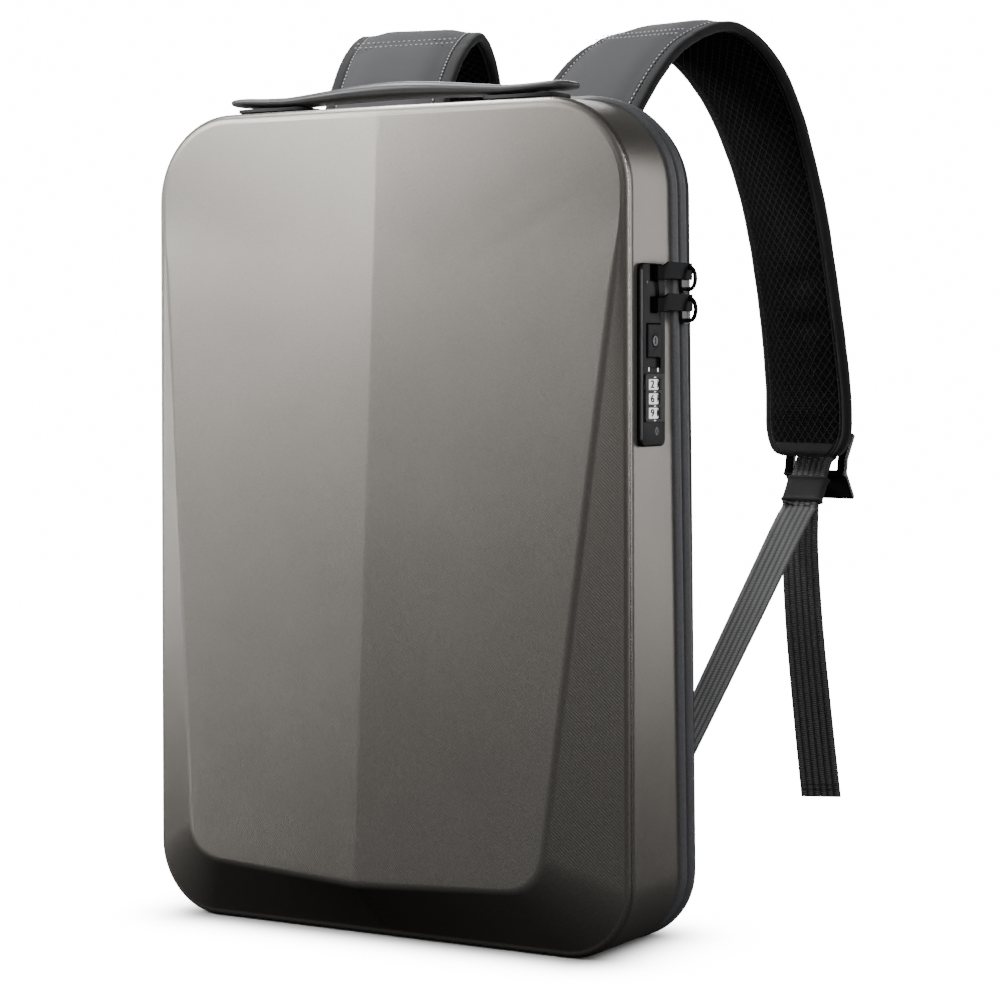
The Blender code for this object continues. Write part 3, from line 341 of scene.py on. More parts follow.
LOCK_BLACK = moulded("lock_black", (0.006, 0.006, 0.007), 0.5, specular=0.25)
# Painted highlight: this light grey stands in for the light caught by the lock plate's front edge.
HIGHLIGHT_RAIL_GREY = moulded("painted_highlight_grey", (0.16, 0.165, 0.18), 0.3)
FRAME_GREY = moulded("frame_grey", (0.03, 0.031, 0.033), 0.5)
# Painted glow: the dials and the pointers emit light of their own.
GLOWING_DIAL_WHITE = moulded("dial_white_painted_glow", (0.90, 0.90, 0.89), 0.45, wander=0.05, glow=0.9)
# Ink of the digits, and also the painted shade of the screw's slots.
DIGIT_INK_AND_SLOT_SHADE = moulded("digit_ink_and_slot_shade", (0.03, 0.03, 0.032), 0.6)
KEY_STEEL = moulded("key_steel", (0.10, 0.10, 0.105), 0.35, 0.9)
ZIP_PAINT = moulded("zip_paint", (0.010, 0.010, 0.011), 0.24)
PULL_PAINT = moulded("pull_paint", (0.006, 0.006, 0.007), 0.6, specular=0.25)
BUCKLE_BLACK = moulded("buckle_black", (0.010, 0.010, 0.011), 0.18)
HANDLE_PLASTIC = moulded("handle_plastic", (0.012, 0.012, 0.013), 0.5)
HANDLE_RUBBER = moulded("handle_rubber", (0.100, 0.100, 0.106), 0.36, peel=0.00008, scale=1400)
THREAD = moulded("thread", (0.60, 0.60, 0.61), 0.8)
DARK_THREAD = moulded("dark_thread", (0.05, 0.05, 0.052), 0.8)
TEETH_BLACK = moulded("teeth_black", (0.010, 0.010, 0.011), 0.35)
print("finishes so far", len(bpy.data.materials))

# %% [markdown]
# Two helpers carry the modelling. One turns a bmesh into a finished piece: it rides on a body, may
# stand for a CAD node, and takes its finishes. The other rounds a rectangle: a face of four
# corners whose corners are bevelled by the vertex, which is the quickest way to draw a rounded
# outline.

# %% Piece helpers
MERGE = 0.00001


def finish_piece(name, bm, finishes, body="bag", stands_for=(), smooth=40, turn_out=True):
    if turn_out:
        bmesh.ops.recalc_face_normals(bm, faces=bm.faces)
    mesh = bpy.data.meshes.new(name)
    bm.to_mesh(mesh)
    bm.free()
    mesh.shade_smooth()
    mesh.set_sharp_from_angle(angle=math.radians(smooth))
    for finish in finishes if isinstance(finishes, tuple) else (finishes,):
        mesh.materials.append(finish)
    piece = bpy.data.objects.new(name, mesh)
    bpy.context.collection.objects.link(piece)
    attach(piece, body)
    if stands_for:
        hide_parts(*stands_for)
    print(name, len(mesh.polygons), "faces")
    return piece


def apply_modifiers(piece):
    """Bake a piece's modifiers into its mesh."""
    evaluated = piece.evaluated_get(bpy.context.evaluated_depsgraph_get())
    mesh = bpy.data.meshes.new_from_object(evaluated)
    piece.modifiers.clear()
    old = piece.data
    piece.data = mesh
    bpy.data.meshes.remove(old)


def merge_doubles(bm, distance=MERGE):
    bmesh.ops.remove_doubles(bm, verts=bm.verts, dist=distance)


def rounded_face(bm, low, high, low_radius, high_radius, steps):
    """A face in the XY plane between two corners, its lower and upper corners rounded."""
    corners = [(low[0], low[1]), (high[0], low[1]), (high[0], high[1]), (low[0], high[1])]
    face = bm.faces.new([bm.verts.new((x, y, 0)) for x, y in corners])
    for radius, level in ((low_radius, low[1]), (high_radius, high[1])):
        bmesh.ops.bevel(
            bm, geom=[v for v in face.verts if abs(v.co.y - level) < 1e-6], offset=radius,
            segments=steps, profile=0.5, affect="VERTICES", clamp_overlap=True, material=-1,
        )
        face = max(bm.faces, key=lambda f: f.calc_area())
    return face


def mix(a, b, share):
    return a + (b - a) * share


def clamped(value, low=0.0, high=1.0):
    return min(max(value, low), high)


print("a share of 0.25 between 0 and 8 is", mix(0, 8, 0.25))

# %% [markdown]
# Everything on the body follows one outline: 304 mm wide and 450 mm high, with larger corners
# on top. The rim where the shell meets the zip leans back towards the floor, and the raised
# front panel grows prouder on its way down.

# %% Body sizes and outline
HALF_WIDTH = 0.152
BODY_HEIGHT = 0.450
TOP_CORNER = 0.050
BOTTOM_CORNER = 0.040
SHELL_DEPTH = 0.043
SHELL_WALL = 0.0028
SHELL_DRAFT = 0.0012
FRONT_ROUND = 0.0045
FRONT_LEAN = 0.0025
ZIP_LEAN = 0.0145
ZIP_TOP_Y = -0.0020
SEAM_GAP = 0.0003


def rim_line(z):
    return ZIP_TOP_Y + ZIP_LEAN * (1 - z / BODY_HEIGHT)


def front_line(z):
    return -SHELL_DEPTH + FRONT_LEAN * (1 - z / BODY_HEIGHT)


def outline_points(corner_steps=18, longest=0.010):
    """Points round the body's outline as (x, z), evenly spaced along the straight sides."""
    bm = bmesh.new()
    rounded_face(
        bm, (-HALF_WIDTH, 0), (HALF_WIDTH, BODY_HEIGHT), BOTTOM_CORNER, TOP_CORNER, corner_steps,
    )
    straight = [e for e in bm.edges if e.calc_length() > 0.05]
    for edge in straight:
        cuts = int(edge.calc_length() / longest)
        cuts += 1 - cuts % 2
        bmesh.ops.subdivide_edges(bm, edges=[edge], cuts=cuts)
    for share in (0.35, 0.5):
        near = [e for e in bm.edges if any(abs(v.co.x) < 1e-6 for v in e.verts)]
        for edge in near:
            middle = next(v for v in edge.verts if abs(v.co.x) < 1e-6)
            bmesh.utils.edge_split(edge, middle, share)
    points = [(v.co.x, v.co.y) for v in next(iter(bm.faces)).verts]
    bm.free()
    return points


def outward(x, z):
    """The outline's outward direction at a point on it."""
    radius = BOTTOM_CORNER if z < BODY_HEIGHT / 2 else TOP_CORNER
    reach = HALF_WIDTH - radius
    level = clamped(z, BOTTOM_CORNER, BODY_HEIGHT - TOP_CORNER)
    middle = Vector((clamped(x, -reach, reach), level))
    return (Vector((x, z)) - middle).normalized()


OUTLINE = outline_points()
print("outline", len(OUTLINE), "points")

# %% [markdown]
# A shell like this is easiest to grow ring by ring. The rim is a closed ring of edges; each
# extrude makes a fresh ring in the same place, which is then moved to where the surface goes
# next: up the side wall, round the front edge, and onto the raised panel.

# %% Growing rings
def first_ring(bm, place):
    verts = [bm.verts.new(place(x, z)) for x, z in OUTLINE]
    for a, b in zip(verts, verts[1:] + verts[:1]):
        bm.edges.new((a, b))
    return dict(zip(verts, OUTLINE))


def next_ring(bm, ring, place):
    """Extrude a ring of edges and move its points to place(x, z) of the outline."""
    edges = [e for e in bm.edges if e.verts[0] in ring and e.verts[1] in ring]
    where = {v.co.to_tuple(6): spot for v, spot in ring.items()}
    made = bmesh.ops.extrude_edge_only(bm, edges=edges)["geom"]
    fresh = {v: where[v.co.to_tuple(6)] for v in made if isinstance(v, bmesh.types.BMVert)}
    for v, (x, z) in fresh.items():
        v.co = place(x, z)
    return fresh


print("a ring holds", len(OUTLINE), "points, one for each point of the outline")

# %% [markdown]
# The raised panel is the bag's face. Its sides leave the front edge at 385 mm and run inwards
# to rounded lower corners, its lower edge is a shallow V, and a ridge down the middle parts it
# into two facets. A point of the outline is sent to its partner on the panel's edge.

# %% Panel sizes
PANEL_START = 0.385
PANEL_CORNER_INSET = 0.042
PANEL_CORNER_Z = 0.038
PANEL_POINT_Z = 0.032
PANEL_CORNER_RISE = 0.025
RIDGE_TOP_RISE = 0.004
RIDGE_LOW_RISE = 0.029
PANEL_RADIUS = 0.020
PANEL_MARGIN = 0.0010
CREASE = 0.0028
RIDGE_SOFT = 0.0007
RIDGE_TOP = BODY_HEIGHT - 0.0360
RIDGE_LOW = PANEL_POINT_Z + 0.0300


def panel_side(z):
    share = clamped((PANEL_START - z) / (PANEL_START - PANEL_CORNER_Z), 0.0, 1.1)
    return HALF_WIDTH - PANEL_CORNER_INSET * share


def panel_rise(x, z):
    down = min((BODY_HEIGHT - z) / (BODY_HEIGHT - PANEL_POINT_Z), 1.0)
    ridge = mix(RIDGE_TOP_RISE, RIDGE_LOW_RISE, down)
    edge = PANEL_CORNER_RISE * max((PANEL_START - z) / (PANEL_START - PANEL_CORNER_Z), 0.0)
    return mix(ridge, edge, min(abs(x) / panel_side(z), 1.0))


def panel_partner(x, z):
    """Where a point of the outline lands on the panel's edge, as (x, z)."""
    inset = FRONT_ROUND + PANEL_MARGIN + SHELL_DRAFT
    aside = math.copysign(1, x)
    out = outward(x, z)
    if z >= BODY_HEIGHT - TOP_CORNER:
        return x - out.x * inset, z - out.y * inset
    start = Vector((HALF_WIDTH - inset, PANEL_START))
    corner = Vector((panel_side(PANEL_CORNER_Z), PANEL_CORNER_Z))
    point = Vector((0.0, PANEL_POINT_Z))
    turn_in = corner + (start - corner).normalized() * PANEL_RADIUS
    turn_out = corner + (point - corner).normalized() * PANEL_RADIUS
    if z >= PANEL_START:
        return x - out.x * inset, z
    if z >= BOTTOM_CORNER:
        spot = start.lerp(turn_in, (PANEL_START - z) / (PANEL_START - BOTTOM_CORNER))
    elif abs(x) > HALF_WIDTH - BOTTOM_CORNER + 1e-6:
        t = math.atan2(-out.y, abs(out.x)) / (math.pi / 2)
        spot = turn_in.lerp(corner, t).lerp(corner.lerp(turn_out, t), t)
    else:
        spot = point.lerp(turn_out, abs(x) / (HALF_WIDTH - BOTTOM_CORNER))
    return aside * spot.x, spot.y


print("panel half width", round(panel_side(BODY_HEIGHT), 3), "m, then", round(panel_side(0.1), 3))

# %% [markdown]
# Now the shell is grown. Each function below answers one question: where does a point of the
# outline stand on this ring? The side wall drafts inwards, a quarter circle turns it into the
# front, a soft crease leads onto the panel, and rings inside the panel close on its ridge.

# %% Shell rings
SIDE_WALL_STEP = 0.008
PROBE_WIDTH = 0.97
PROBE_HEIGHT = 0.012


def edge_place(inset, setback):
    def place(x, z):
        out = outward(x, z)
        drop = SHELL_DRAFT * (1 - max(0.0, -out.y) ** 2) + inset
        rise = panel_rise(x, z) if z >= PANEL_START else 0.0
        return Vector((x - out.x * drop, front_line(z) - rise + setback, z - out.y * drop))
    return place


def panel_place(share):
    """On the panel's edge, crossed from the front edge (0) to the panel itself (1)."""
    edge = edge_place(FRONT_ROUND, 0.0)

    def place(x, z):
        a = edge(x, z)
        px, pz = panel_partner(x, z)
        b = Vector((px, front_line(pz) - panel_rise(px, pz), pz))
        inner = Vector((px * PROBE_WIDTH, 0.0, mix(pz, BODY_HEIGHT / 2, PROBE_HEIGHT)))
        inner.y = front_line(inner.z) - panel_rise(inner.x, inner.z)
        soft = min(CREASE, (b - a).length * 0.5)
        before = b + (a - b).normalized() * soft
        after = b + (inner - b).normalized() * soft
        return before.lerp(b, share).lerp(b.lerp(after, share), share)
    return place


def panel_inner_place(shares, share):
    """Inside the panel, a share of the way from its edge to the ridge down its middle."""
    def place(x, z):
        px, pz = panel_partner(x, z)
        ridge_z = mix(RIDGE_TOP, RIDGE_LOW, shares[x, z])
        spot = Vector((px * (1 - share), 0.0, mix(pz, ridge_z, share)))
        soft = math.hypot(spot.x, RIDGE_SOFT)
        spot.y = front_line(spot.z) - panel_rise(soft, spot.z)
        return spot
    return place


def ridge_shares():
    """Each outline point's share of the way down its side, from the top middle to the foot."""
    shares = {}
    for aside in (1, -1):
        half = [p for p in OUTLINE if p[0] * aside >= -1e-6]
        half.sort(key=lambda p: math.atan2(abs(p[0]), p[1] - BODY_HEIGHT / 2))
        lengths = [0.0]
        for (x0, z0), (x1, z1) in zip(half, half[1:]):
            lengths.append(lengths[-1] + math.hypot(x1 - x0, z1 - z0))
        shares.update({p: d / lengths[-1] for p, d in zip(half, lengths)})
    return shares


def build_shell():
    bm = bmesh.new()
    ring = first_ring(bm, lambda x, z: Vector((x, rim_line(z), z)))
    ring = next_ring(bm, ring, edge_place(0.0, FRONT_ROUND + SIDE_WALL_STEP))
    for step in range(7):
        a = math.pi / 2 * step / 6
        inset, setback = FRONT_ROUND * (1 - math.cos(a)), FRONT_ROUND * (1 - math.sin(a))
        ring = next_ring(bm, ring, edge_place(inset, setback))
    for share in (0.0, 0.25, 0.5, 0.75, 1.0):
        ring = next_ring(bm, ring, panel_place(share))
    shares = ridge_shares()
    for share in (0.12, 0.3, 0.5, 0.7, 0.85, 0.93, 0.965, 0.98, 0.99, 0.996, 1.0):
        ring = next_ring(bm, ring, panel_inner_place(shares, share))
    merge_doubles(bm)
    return bm


shell = finish_piece(
    "shell", build_shell(), SHELL_COAT, stands_for=["front_shell"], smooth=60,
)

# %% [markdown]
# The wall is given its thickness inwards by Solidify, and the side lock's body passes through a
# window in the right wall, cut by a Boolean. The lock stands in its own small frame: X out of
# the wall, Y to the rear. Its place is used again for every piece of the lock.

# %% Wall and lock window
LOCK_PLACE = Vector((0.151271, -0.022, 0.314))
LOCK_TURN = Matrix.Translation(LOCK_PLACE) @ Matrix.Rotation(math.radians(-1.713), 4, "Z")
LOCK_PLATE = 0.0024
WINDOW_LOW, WINDOW_HIGH = (-0.034, -0.0103, -0.0446), (0.0096, 0.0103, 0.0446)


def block(bm, low, high):
    made = bmesh.ops.create_cube(bm, size=1)["verts"]
    bmesh.ops.scale(bm, vec=Vector(high) - Vector(low), verts=made)
    bmesh.ops.translate(bm, vec=(Vector(high) + Vector(low)) / 2, verts=made)
    return made


def cut(piece, bm):
    """Cut a closed shape out of a piece, and keep only the result."""
    mesh = bpy.data.meshes.new("cutter")
    bmesh.ops.recalc_face_normals(bm, faces=bm.faces)
    bm.to_mesh(mesh)
    bm.free()
    tool = bpy.data.objects.new("cutter", mesh)
    bpy.context.collection.objects.link(tool)
    modifier = piece.modifiers.new("cut", "BOOLEAN")
    modifier.operation = "DIFFERENCE"
    modifier.solver = "EXACT"
    modifier.object = tool
    apply_modifiers(piece)
    bpy.data.objects.remove(tool)
    bpy.data.meshes.remove(mesh)


def thicken(piece, thickness):
    wall = piece.modifiers.new("wall", "SOLIDIFY")
    wall.thickness = thickness
    wall.offset = -1


thicken(shell, SHELL_WALL)
window = bmesh.new()
block(window, WINDOW_LOW, WINDOW_HIGH)
window.transform(LOCK_TURN)
cut(shell, window)
weigh = shell.modifiers.new("even_light", "WEIGHTED_NORMAL")
weigh.keep_sharp = True
print("shell", len(shell.data.polygons), "faces with its wall")

# %% [markdown]
# Two coated cords run round the bag, one sewn to the shell and one to the soft back, and hide
# the zip between them. A cord is a curve with a round bevel, made into a mesh. Along the floor
# the cords are pressed flush, so the bag stands on its shell.

# %% Cords
CORD_RADIUS = 0.0032
CORD_PROUD = 0.0028
CORD_SPACING = 0.0100
FRONT_CORD_Y = SEAM_GAP + CORD_RADIUS + 0.0001


def loop_path(offset, behind):
    """A closed path round the outline, offset outwards, behind the rim."""
    path = []
    for x, z in OUTLINE:
        out = outward(x, z)
        low = max(0.0, -out.y) ** 2
        away = mix(offset, -CORD_RADIUS, low) if offset > -CORD_RADIUS else offset
        path.append(Vector((x + out.x * away, rim_line(z) + behind, z + out.y * away)))
    return path


def tube(path, radius, sides):
    curve = bpy.data.curves.new("tube", "CURVE")
    curve.dimensions = "3D"
    curve.bevel_depth = radius
    curve.bevel_resolution = sides
    spline = curve.splines.new("POLY")
    spline.points.add(len(path) - 1)
    for point, spot in zip(spline.points, path):
        point.co = (*spot, 1)
    spline.use_cyclic_u = True
    holder = bpy.data.objects.new("tube", curve)
    mesh = bpy.data.meshes.new_from_object(holder)
    bm = bmesh.new()
    bm.from_mesh(mesh)
    bpy.data.objects.remove(holder)
    bpy.data.curves.remove(curve)
    bpy.data.meshes.remove(mesh)
    return bm


for name, spacing in (("front_piping", 0.0), ("rear_piping", CORD_SPACING)):
    path = loop_path(CORD_PROUD - CORD_RADIUS, FRONT_CORD_Y + spacing)
    cord_bm = tube(path, CORD_RADIUS, sides=5)
    merge_doubles(cord_bm)
    finish_piece(f"{name}_cord", cord_bm, CORD_COAT, stands_for=[name])

# %% [markdown]
# Between the cords lies the closed zip: a flat tape on each side and a row of moulded teeth. A
# tooth is a small block, and its copies are set round the outline every 2 mm, stepping a little
# to the front and to the rear in turn, as meshed teeth do.

# %% Zip
TAPE_DROP = -SHELL_WALL - SEAM_GAP - 0.0004
TAPE_THICKNESS = 0.0009
TAPE_FRONT, TAPE_REAR = -0.0060, 0.0180
ZIP_BEHIND = FRONT_CORD_Y + CORD_SPACING / 2
TOOTH_SIZE = (0.0022, 0.0012, 0.0012)
TOOTH_PITCH = 0.0020
TOOTH_LIFT = 0.0008
TOOTH_STAGGER = 0.0003


def axes(*directions):
    return Matrix(directions).transposed().to_4x4()


def walk(path, pitch):
    """Even steps along a path: each gives its point, the direction there, and its stretch."""
    carry = 0.0
    for stretch, (a, b) in enumerate(zip(path, path[1:])):
        along, gap = (b - a).normalized(), (b - a).length
        while carry < gap:
            yield a + along * carry, along, stretch
            carry += pitch
        carry -= gap


def build_tape():
    bm = bmesh.new()

    def place(drop, behind):
        def at(x, z):
            out = outward(x, z)
            return Vector((x + out.x * drop, rim_line(z) + behind, z + out.y * drop))
        return at

    low = TAPE_DROP - TAPE_THICKNESS
    ring = first_ring(bm, place(TAPE_DROP, TAPE_FRONT))
    for drop, behind in (
        (TAPE_DROP, ZIP_BEHIND), (TAPE_DROP, TAPE_REAR), (low, TAPE_REAR), (low, TAPE_FRONT),
        (TAPE_DROP, TAPE_FRONT),
    ):
        ring = next_ring(bm, ring, place(drop, behind))
    merge_doubles(bm)
    return bm


def build_teeth():
    bm = bmesh.new()
    path = loop_path(TAPE_DROP + TOOTH_LIFT, ZIP_BEHIND)
    side = Vector((0, 1, 0))
    for count, (spot, along, _) in enumerate(walk(path + path[:1], TOOTH_PITCH)):
        made = bmesh.ops.create_cube(bm, size=1)["verts"]
        bmesh.ops.scale(bm, vec=TOOTH_SIZE, verts=made)
        shift = Matrix.Translation(spot + side * (TOOTH_STAGGER if count % 2 else -TOOTH_STAGGER))
        turn = axes(side, along, along.cross(side).normalized())
        bmesh.ops.transform(bm, matrix=shift @ turn, verts=made)
    return bm


finish_piece("zip_tapes", build_tape(), BACK_CLOTH, stands_for=["zip_tape"])
finish_piece("zip_teeth", build_teeth(), TEETH_BLACK, smooth=20)

# %% [markdown]
# Behind the second cord the bag is soft: a band of woven cloth, two centimetres deep, and a rear
# face under the back panel. It grows ring by ring as the shell did, with a little fullness in
# the band, and a small round where band and rear face meet. Solidify gives the cloth its wall.

# %% Soft back
BACK_TOP_Y = 0.0272
BACK_LEAN = 0.0098
BACK_ROUND = 0.0060
BACK_WALL = 0.0025
BACK_START = SEAM_GAP * 2 + 0.0066 + CORD_SPACING
BAND_FULLNESS = ((0.25, 0.0006), (0.5, 0.0009), (0.8, 0.0006), (1.0, 0.0))
REAR_FACE_AREA = 0.01


def lay_uv(bm, spread):
    """A UV map in metres. spread(face, vert) gives each point's place on it."""
    uv = bm.loops.layers.uv.new("UVMap")
    for face in bm.faces:
        for loop in face.loops:
            loop[uv].uv = spread(face, loop.vert)


def back_line(z):
    return BACK_TOP_Y + BACK_LEAN * (1 - z / BODY_HEIGHT)


def build_back():
    bm = bmesh.new()

    def band(share, full):
        def at(x, z):
            out = outward(x, z)
            puff = full * (1 - max(0.0, -out.y) ** 2)
            near = rim_line(z) + BACK_START
            far = back_line(z) - BACK_ROUND
            return Vector((x + out.x * puff, mix(near, far, share), z + out.y * puff))
        return at

    def corner(angle):
        def at(x, z):
            out = outward(x, z)
            inset = BACK_ROUND * (1 - math.cos(angle))
            px, pz = x - out.x * inset, z - out.y * inset
            return Vector((px, back_line(pz) - BACK_ROUND * (1 - math.sin(angle)), pz))
        return at

    ring = first_ring(bm, band(0.0, 0.0))
    for share, full in BAND_FULLNESS:
        ring = next_ring(bm, ring, band(share, full))
    for step in range(1, 7):
        ring = next_ring(bm, ring, corner(math.pi / 2 * step / 6))
    bm.faces.new(list(ring))

    def spread(face, vert):
        x, y, z = vert.co
        facing = abs(outward(x, z).y) if face.calc_area() < REAR_FACE_AREA else 1.0
        return x * facing + y, z + y * 0.2

    lay_uv(bm, spread)
    return bm


back_shell = finish_piece(
    "soft_back", build_back(), BACK_CLOTH, stands_for=["rear_body"],
)
thicken(back_shell, BACK_WALL)
apply_modifiers(back_shell)
print("soft back", len(back_shell.data.polygons), "faces with its wall")

# %% [markdown]
# The back panel is foam under spacer mesh. A foam pad has no hard edges, so it is blown up like
# a real one: a plain slab is cut into an even grid, its rim is held, and cloth under a little
# air pressure swells it between the rim and the sewn channels, which are pressed in afterwards.
# A bound edge runs round it.

# %% Back panel
PAD_THICKNESS = 0.0085
PAD_INSET = 0.0080
PAD_FOOT = 0.0004
CHANNELS = (0.105, 0.225, 0.345)
CHANNEL_WIDTH = 0.0035
CHANNEL_DEPTH = 0.0026
SLAB_INSET, SLAB_THICKNESS, SLAB_LIFT, SLAB_PITCH = 0.0055, 0.0050, 0.0012, 0.006
AIR_PRESSURE = 3.0
AIR_FRAMES = 16
MOVE_CAP = 0.0022
HELD_RIM = 0.0075
HELD_FOOT, HELD_TOP = 0.008, 0.434
PIPE_INSET, PIPE_LIFT, PIPE_RADIUS = 0.0034, 0.0042, 0.0033


def pad_outline():
    bm = bmesh.new()
    rounded_face(
        bm, (-HALF_WIDTH + PAD_INSET, PAD_FOOT), (HALF_WIDTH - PAD_INSET, BODY_HEIGHT - PAD_INSET),
        BOTTOM_CORNER - PAD_INSET, TOP_CORNER - PAD_INSET, 12,
    )
    return bm


def build_pad_slab():
    """A slab a little smaller than the pad, cut into an even grid."""
    bm = pad_outline()
    face = next(iter(bm.faces))
    bmesh.ops.inset_region(bm, faces=[face], thickness=SLAB_INSET, use_even_offset=True)
    for ring_face in [f for f in bm.faces if f is not face]:
        bm.faces.remove(ring_face)
    bmesh.ops.delete(bm, geom=[v for v in bm.verts if not v.link_faces], context="VERTS")
    for axis, low, high in ((0, -HALF_WIDTH, HALF_WIDTH), (1, 0.0, BODY_HEIGHT)):
        count = int((high - low) / SLAB_PITCH)
        for step in range(1, count):
            normal = Vector((axis == 0, axis == 1, 0))
            bmesh.ops.bisect_plane(
                bm, geom=bm.verts[:] + bm.edges[:] + bm.faces[:], dist=1e-6,
                plane_co=normal * mix(low, high, step / count), plane_no=normal,
            )
    bmesh.ops.solidify(bm, geom=bm.faces[:], thickness=SLAB_THICKNESS)
    return bm


def stand_pad(bm):
    """Turn a flat pad's XY to the back's XZ, its thickness rearwards."""
    lift = min(v.co.z for v in bm.verts)
    for v in bm.verts:
        x, z, n = v.co.x, v.co.y, v.co.z - lift
        v.co = Vector((x, back_line(z) + SLAB_LIFT + n, z))


def swell(piece, hold):
    """Cloth under air pressure, with the held points pinned and every move capped."""
    before = [v.co.copy() for v in piece.data.vertices]
    group = piece.vertex_groups.new(name="held")
    for v in piece.data.vertices:
        weight = hold(v.co)
        if weight:
            group.add([v.index], weight, "REPLACE")
    cloth = piece.modifiers.new("air", "CLOTH")
    cloth.settings.use_pressure = True
    cloth.settings.uniform_pressure_force = AIR_PRESSURE
    cloth.settings.vertex_group_mass = "held"
    cloth.settings.effector_weights.gravity = 0
    cloth.settings.quality = 5
    cloth.point_cache.frame_start = 1
    cloth.point_cache.frame_end = AIR_FRAMES
    for number in range(1, AIR_FRAMES + 1):
        bpy.context.scene.frame_set(number)
    apply_modifiers(piece)
    bpy.context.scene.frame_set(1)
    for v, start in zip(piece.data.vertices, before):
        move = v.co - start
        if move.length > MOVE_CAP:
            v.co = start + move * (MOVE_CAP / move.length)


def channel_depth(z):
    return sum(math.exp(-((z - level) / CHANNEL_WIDTH) ** 2) for level in CHANNELS)


def held(spot):
    """How firmly a point is held: fully at the rim, and along the sewn channels."""
    rim = abs(spot.x) > HALF_WIDTH - PAD_INSET - HELD_RIM or not HELD_FOOT < spot.z < HELD_TOP
    return 1.0 if rim else min(channel_depth(spot.z) * 1.4, 1.0)


pad_bm = build_pad_slab()
stand_pad(pad_bm)
pad = finish_piece(
    "back_pad", pad_bm, SPACER_NET, stands_for=["back_panel"], smooth=80,
)
swell(pad, held)
for v in pad.data.vertices:
    if v.co.y > back_line(v.co.z) + 0.0035:
        v.co.y -= CHANNEL_DEPTH * min(channel_depth(v.co.z), 1.0)
pad_uv = pad.data.uv_layers.new(name="UVMap")
for loop in pad.data.loops:
    spot = pad.data.vertices[loop.vertex_index].co
    pad_uv.data[loop.index].uv = (spot.x, spot.z + spot.y * 0.3)
pad_ring = pad_outline()
rim_path = []
for v in next(iter(pad_ring.faces)).verts:
    x = v.co.x - math.copysign(PIPE_INSET, v.co.x)
    z = v.co.y + (PIPE_INSET if v.co.y < 0.2 else -PIPE_INSET)
    rim_path.append(Vector((x, back_line(z) + PIPE_LIFT, z)))
pad_ring.free()
finish_piece("pad_binding", tube(rim_path, PIPE_RADIUS, sides=4), BINDING_CLOTH)

# %% [markdown]
# The handle, the straps and the webbing all have a section that changes along a path. Such a
# piece is lofted: each station gives a row of points, and quads join it to the next row. Paths
# are smooth curves through a few chosen points.

# %% Loft helper
def loft(rows, caps=True):
    """Join closed rows of points by quads, with a face at each end. Returns the rows too."""
    bm = bmesh.new()
    made = [[bm.verts.new(p) for p in row] for row in rows]
    for near, far in zip(made, made[1:]):
        for a, b, c, d in zip(near, near[1:] + near[:1], far[1:] + far[:1], far):
            bm.faces.new((a, b, c, d))
    if caps:
        bm.faces.new(made[0])
        bm.faces.new(made[-1][::-1])
    return bm, made


def curve_through(points, steps):
    """A smooth path through its points (Catmull-Rom), with a few steps between each pair."""
    path = []
    last = len(points) - 1
    for i in range(last):
        p0, p1, p2, p3 = points[max(i - 1, 0)], points[i], points[i + 1], points[min(i + 2, last)]
        for k in range(steps):
            t = k / steps
            path.append(0.5 * (
                2 * p1 + (p2 - p0) * t + (2 * p0 - 5 * p1 + 4 * p2 - p3) * t * t
                + (3 * p1 - p0 - 3 * p2 + p3) * t ** 3
            ))
    path.append(points[-1].copy())
    return path


def rounded(value, power):
    return math.copysign(abs(value) ** power, value)


print("a path through 4 points has", len(curve_through([Vector()] * 4, 8)), "points in 8 steps")

# %% [markdown]
# The carry handle is one soft rubber bar, thickest in the middle, with rounded tips. Each of its
# stations is a rounded oval, and a thin moulded rim is left round its edge. Its underside lies
# close to the bag, and only the tips rise from it.

# %% Carry handle
HANDLE_LENGTH = 0.2190
HANDLE_Y = -0.0240
HANDLE_WIDTH = 0.0260
HANDLE_FOOT = BODY_HEIGHT + SEAM_GAP


def handle_ring(u, sides=40):
    tip = max((abs(u) - 0.93) / 0.07, 0.0)
    middle = 0.5 + 0.5 * math.cos(math.pi * min(abs(u) / 0.85, 1.0))
    round_tip = math.sqrt(max(1 - tip ** 2, 0.003))
    width = HANDLE_WIDTH * mix(0.86, 1.0, middle) * round_tip
    full = mix(0.0050, 0.0090, middle)
    thick = full * mix(1.0, 0.72, tip) * math.sqrt(max(1 - tip ** 6, 0.02))
    under = clamped((0.88 - abs(u)) / 0.25)
    full += 0.0014 * under
    level = HANDLE_FOOT + mix(0.0034, 0.0010, under) + mix(0.0, 0.0020, middle) + full / 2
    ring = []
    for k in range(sides):
        a = 2 * math.pi * k / sides
        c, s = math.cos(a), math.sin(a)
        rim = 1 + 0.16 * math.exp(-((abs(s) - 0.18) / 0.13) ** 2)
        ring.append(Vector((
            HANDLE_LENGTH / 2 * u,
            HANDLE_Y + width / 2 * rounded(c, 0.75),
            level + thick / 2 * rounded(s, 0.80) * rim,
        )))
    return ring


handle_us = [math.sin(math.pi / 2 * k / 36) for k in range(-36, 37)]
handle_bm, _ = loft([handle_ring(u) for u in handle_us])
finish_piece(
    "grip", handle_bm, HANDLE_RUBBER, stands_for=["carry_handle"], smooth=60,
)

# %% [markdown]
# Some pieces of the frame are already right and only want softer edges. Their CAD mesh is copied,
# its doubled points merged and its flat faces joined, and a Bevel modifier rounds every edge.

# %% Softened copies of CAD pieces
def soften_edges(piece, width, segments, angle=30):
    edge = piece.modifiers.new("soft_edges", "BEVEL")
    edge.width = width
    edge.segments = segments
    edge.limit_method = "ANGLE"
    edge.angle_limit = math.radians(angle)
    return edge


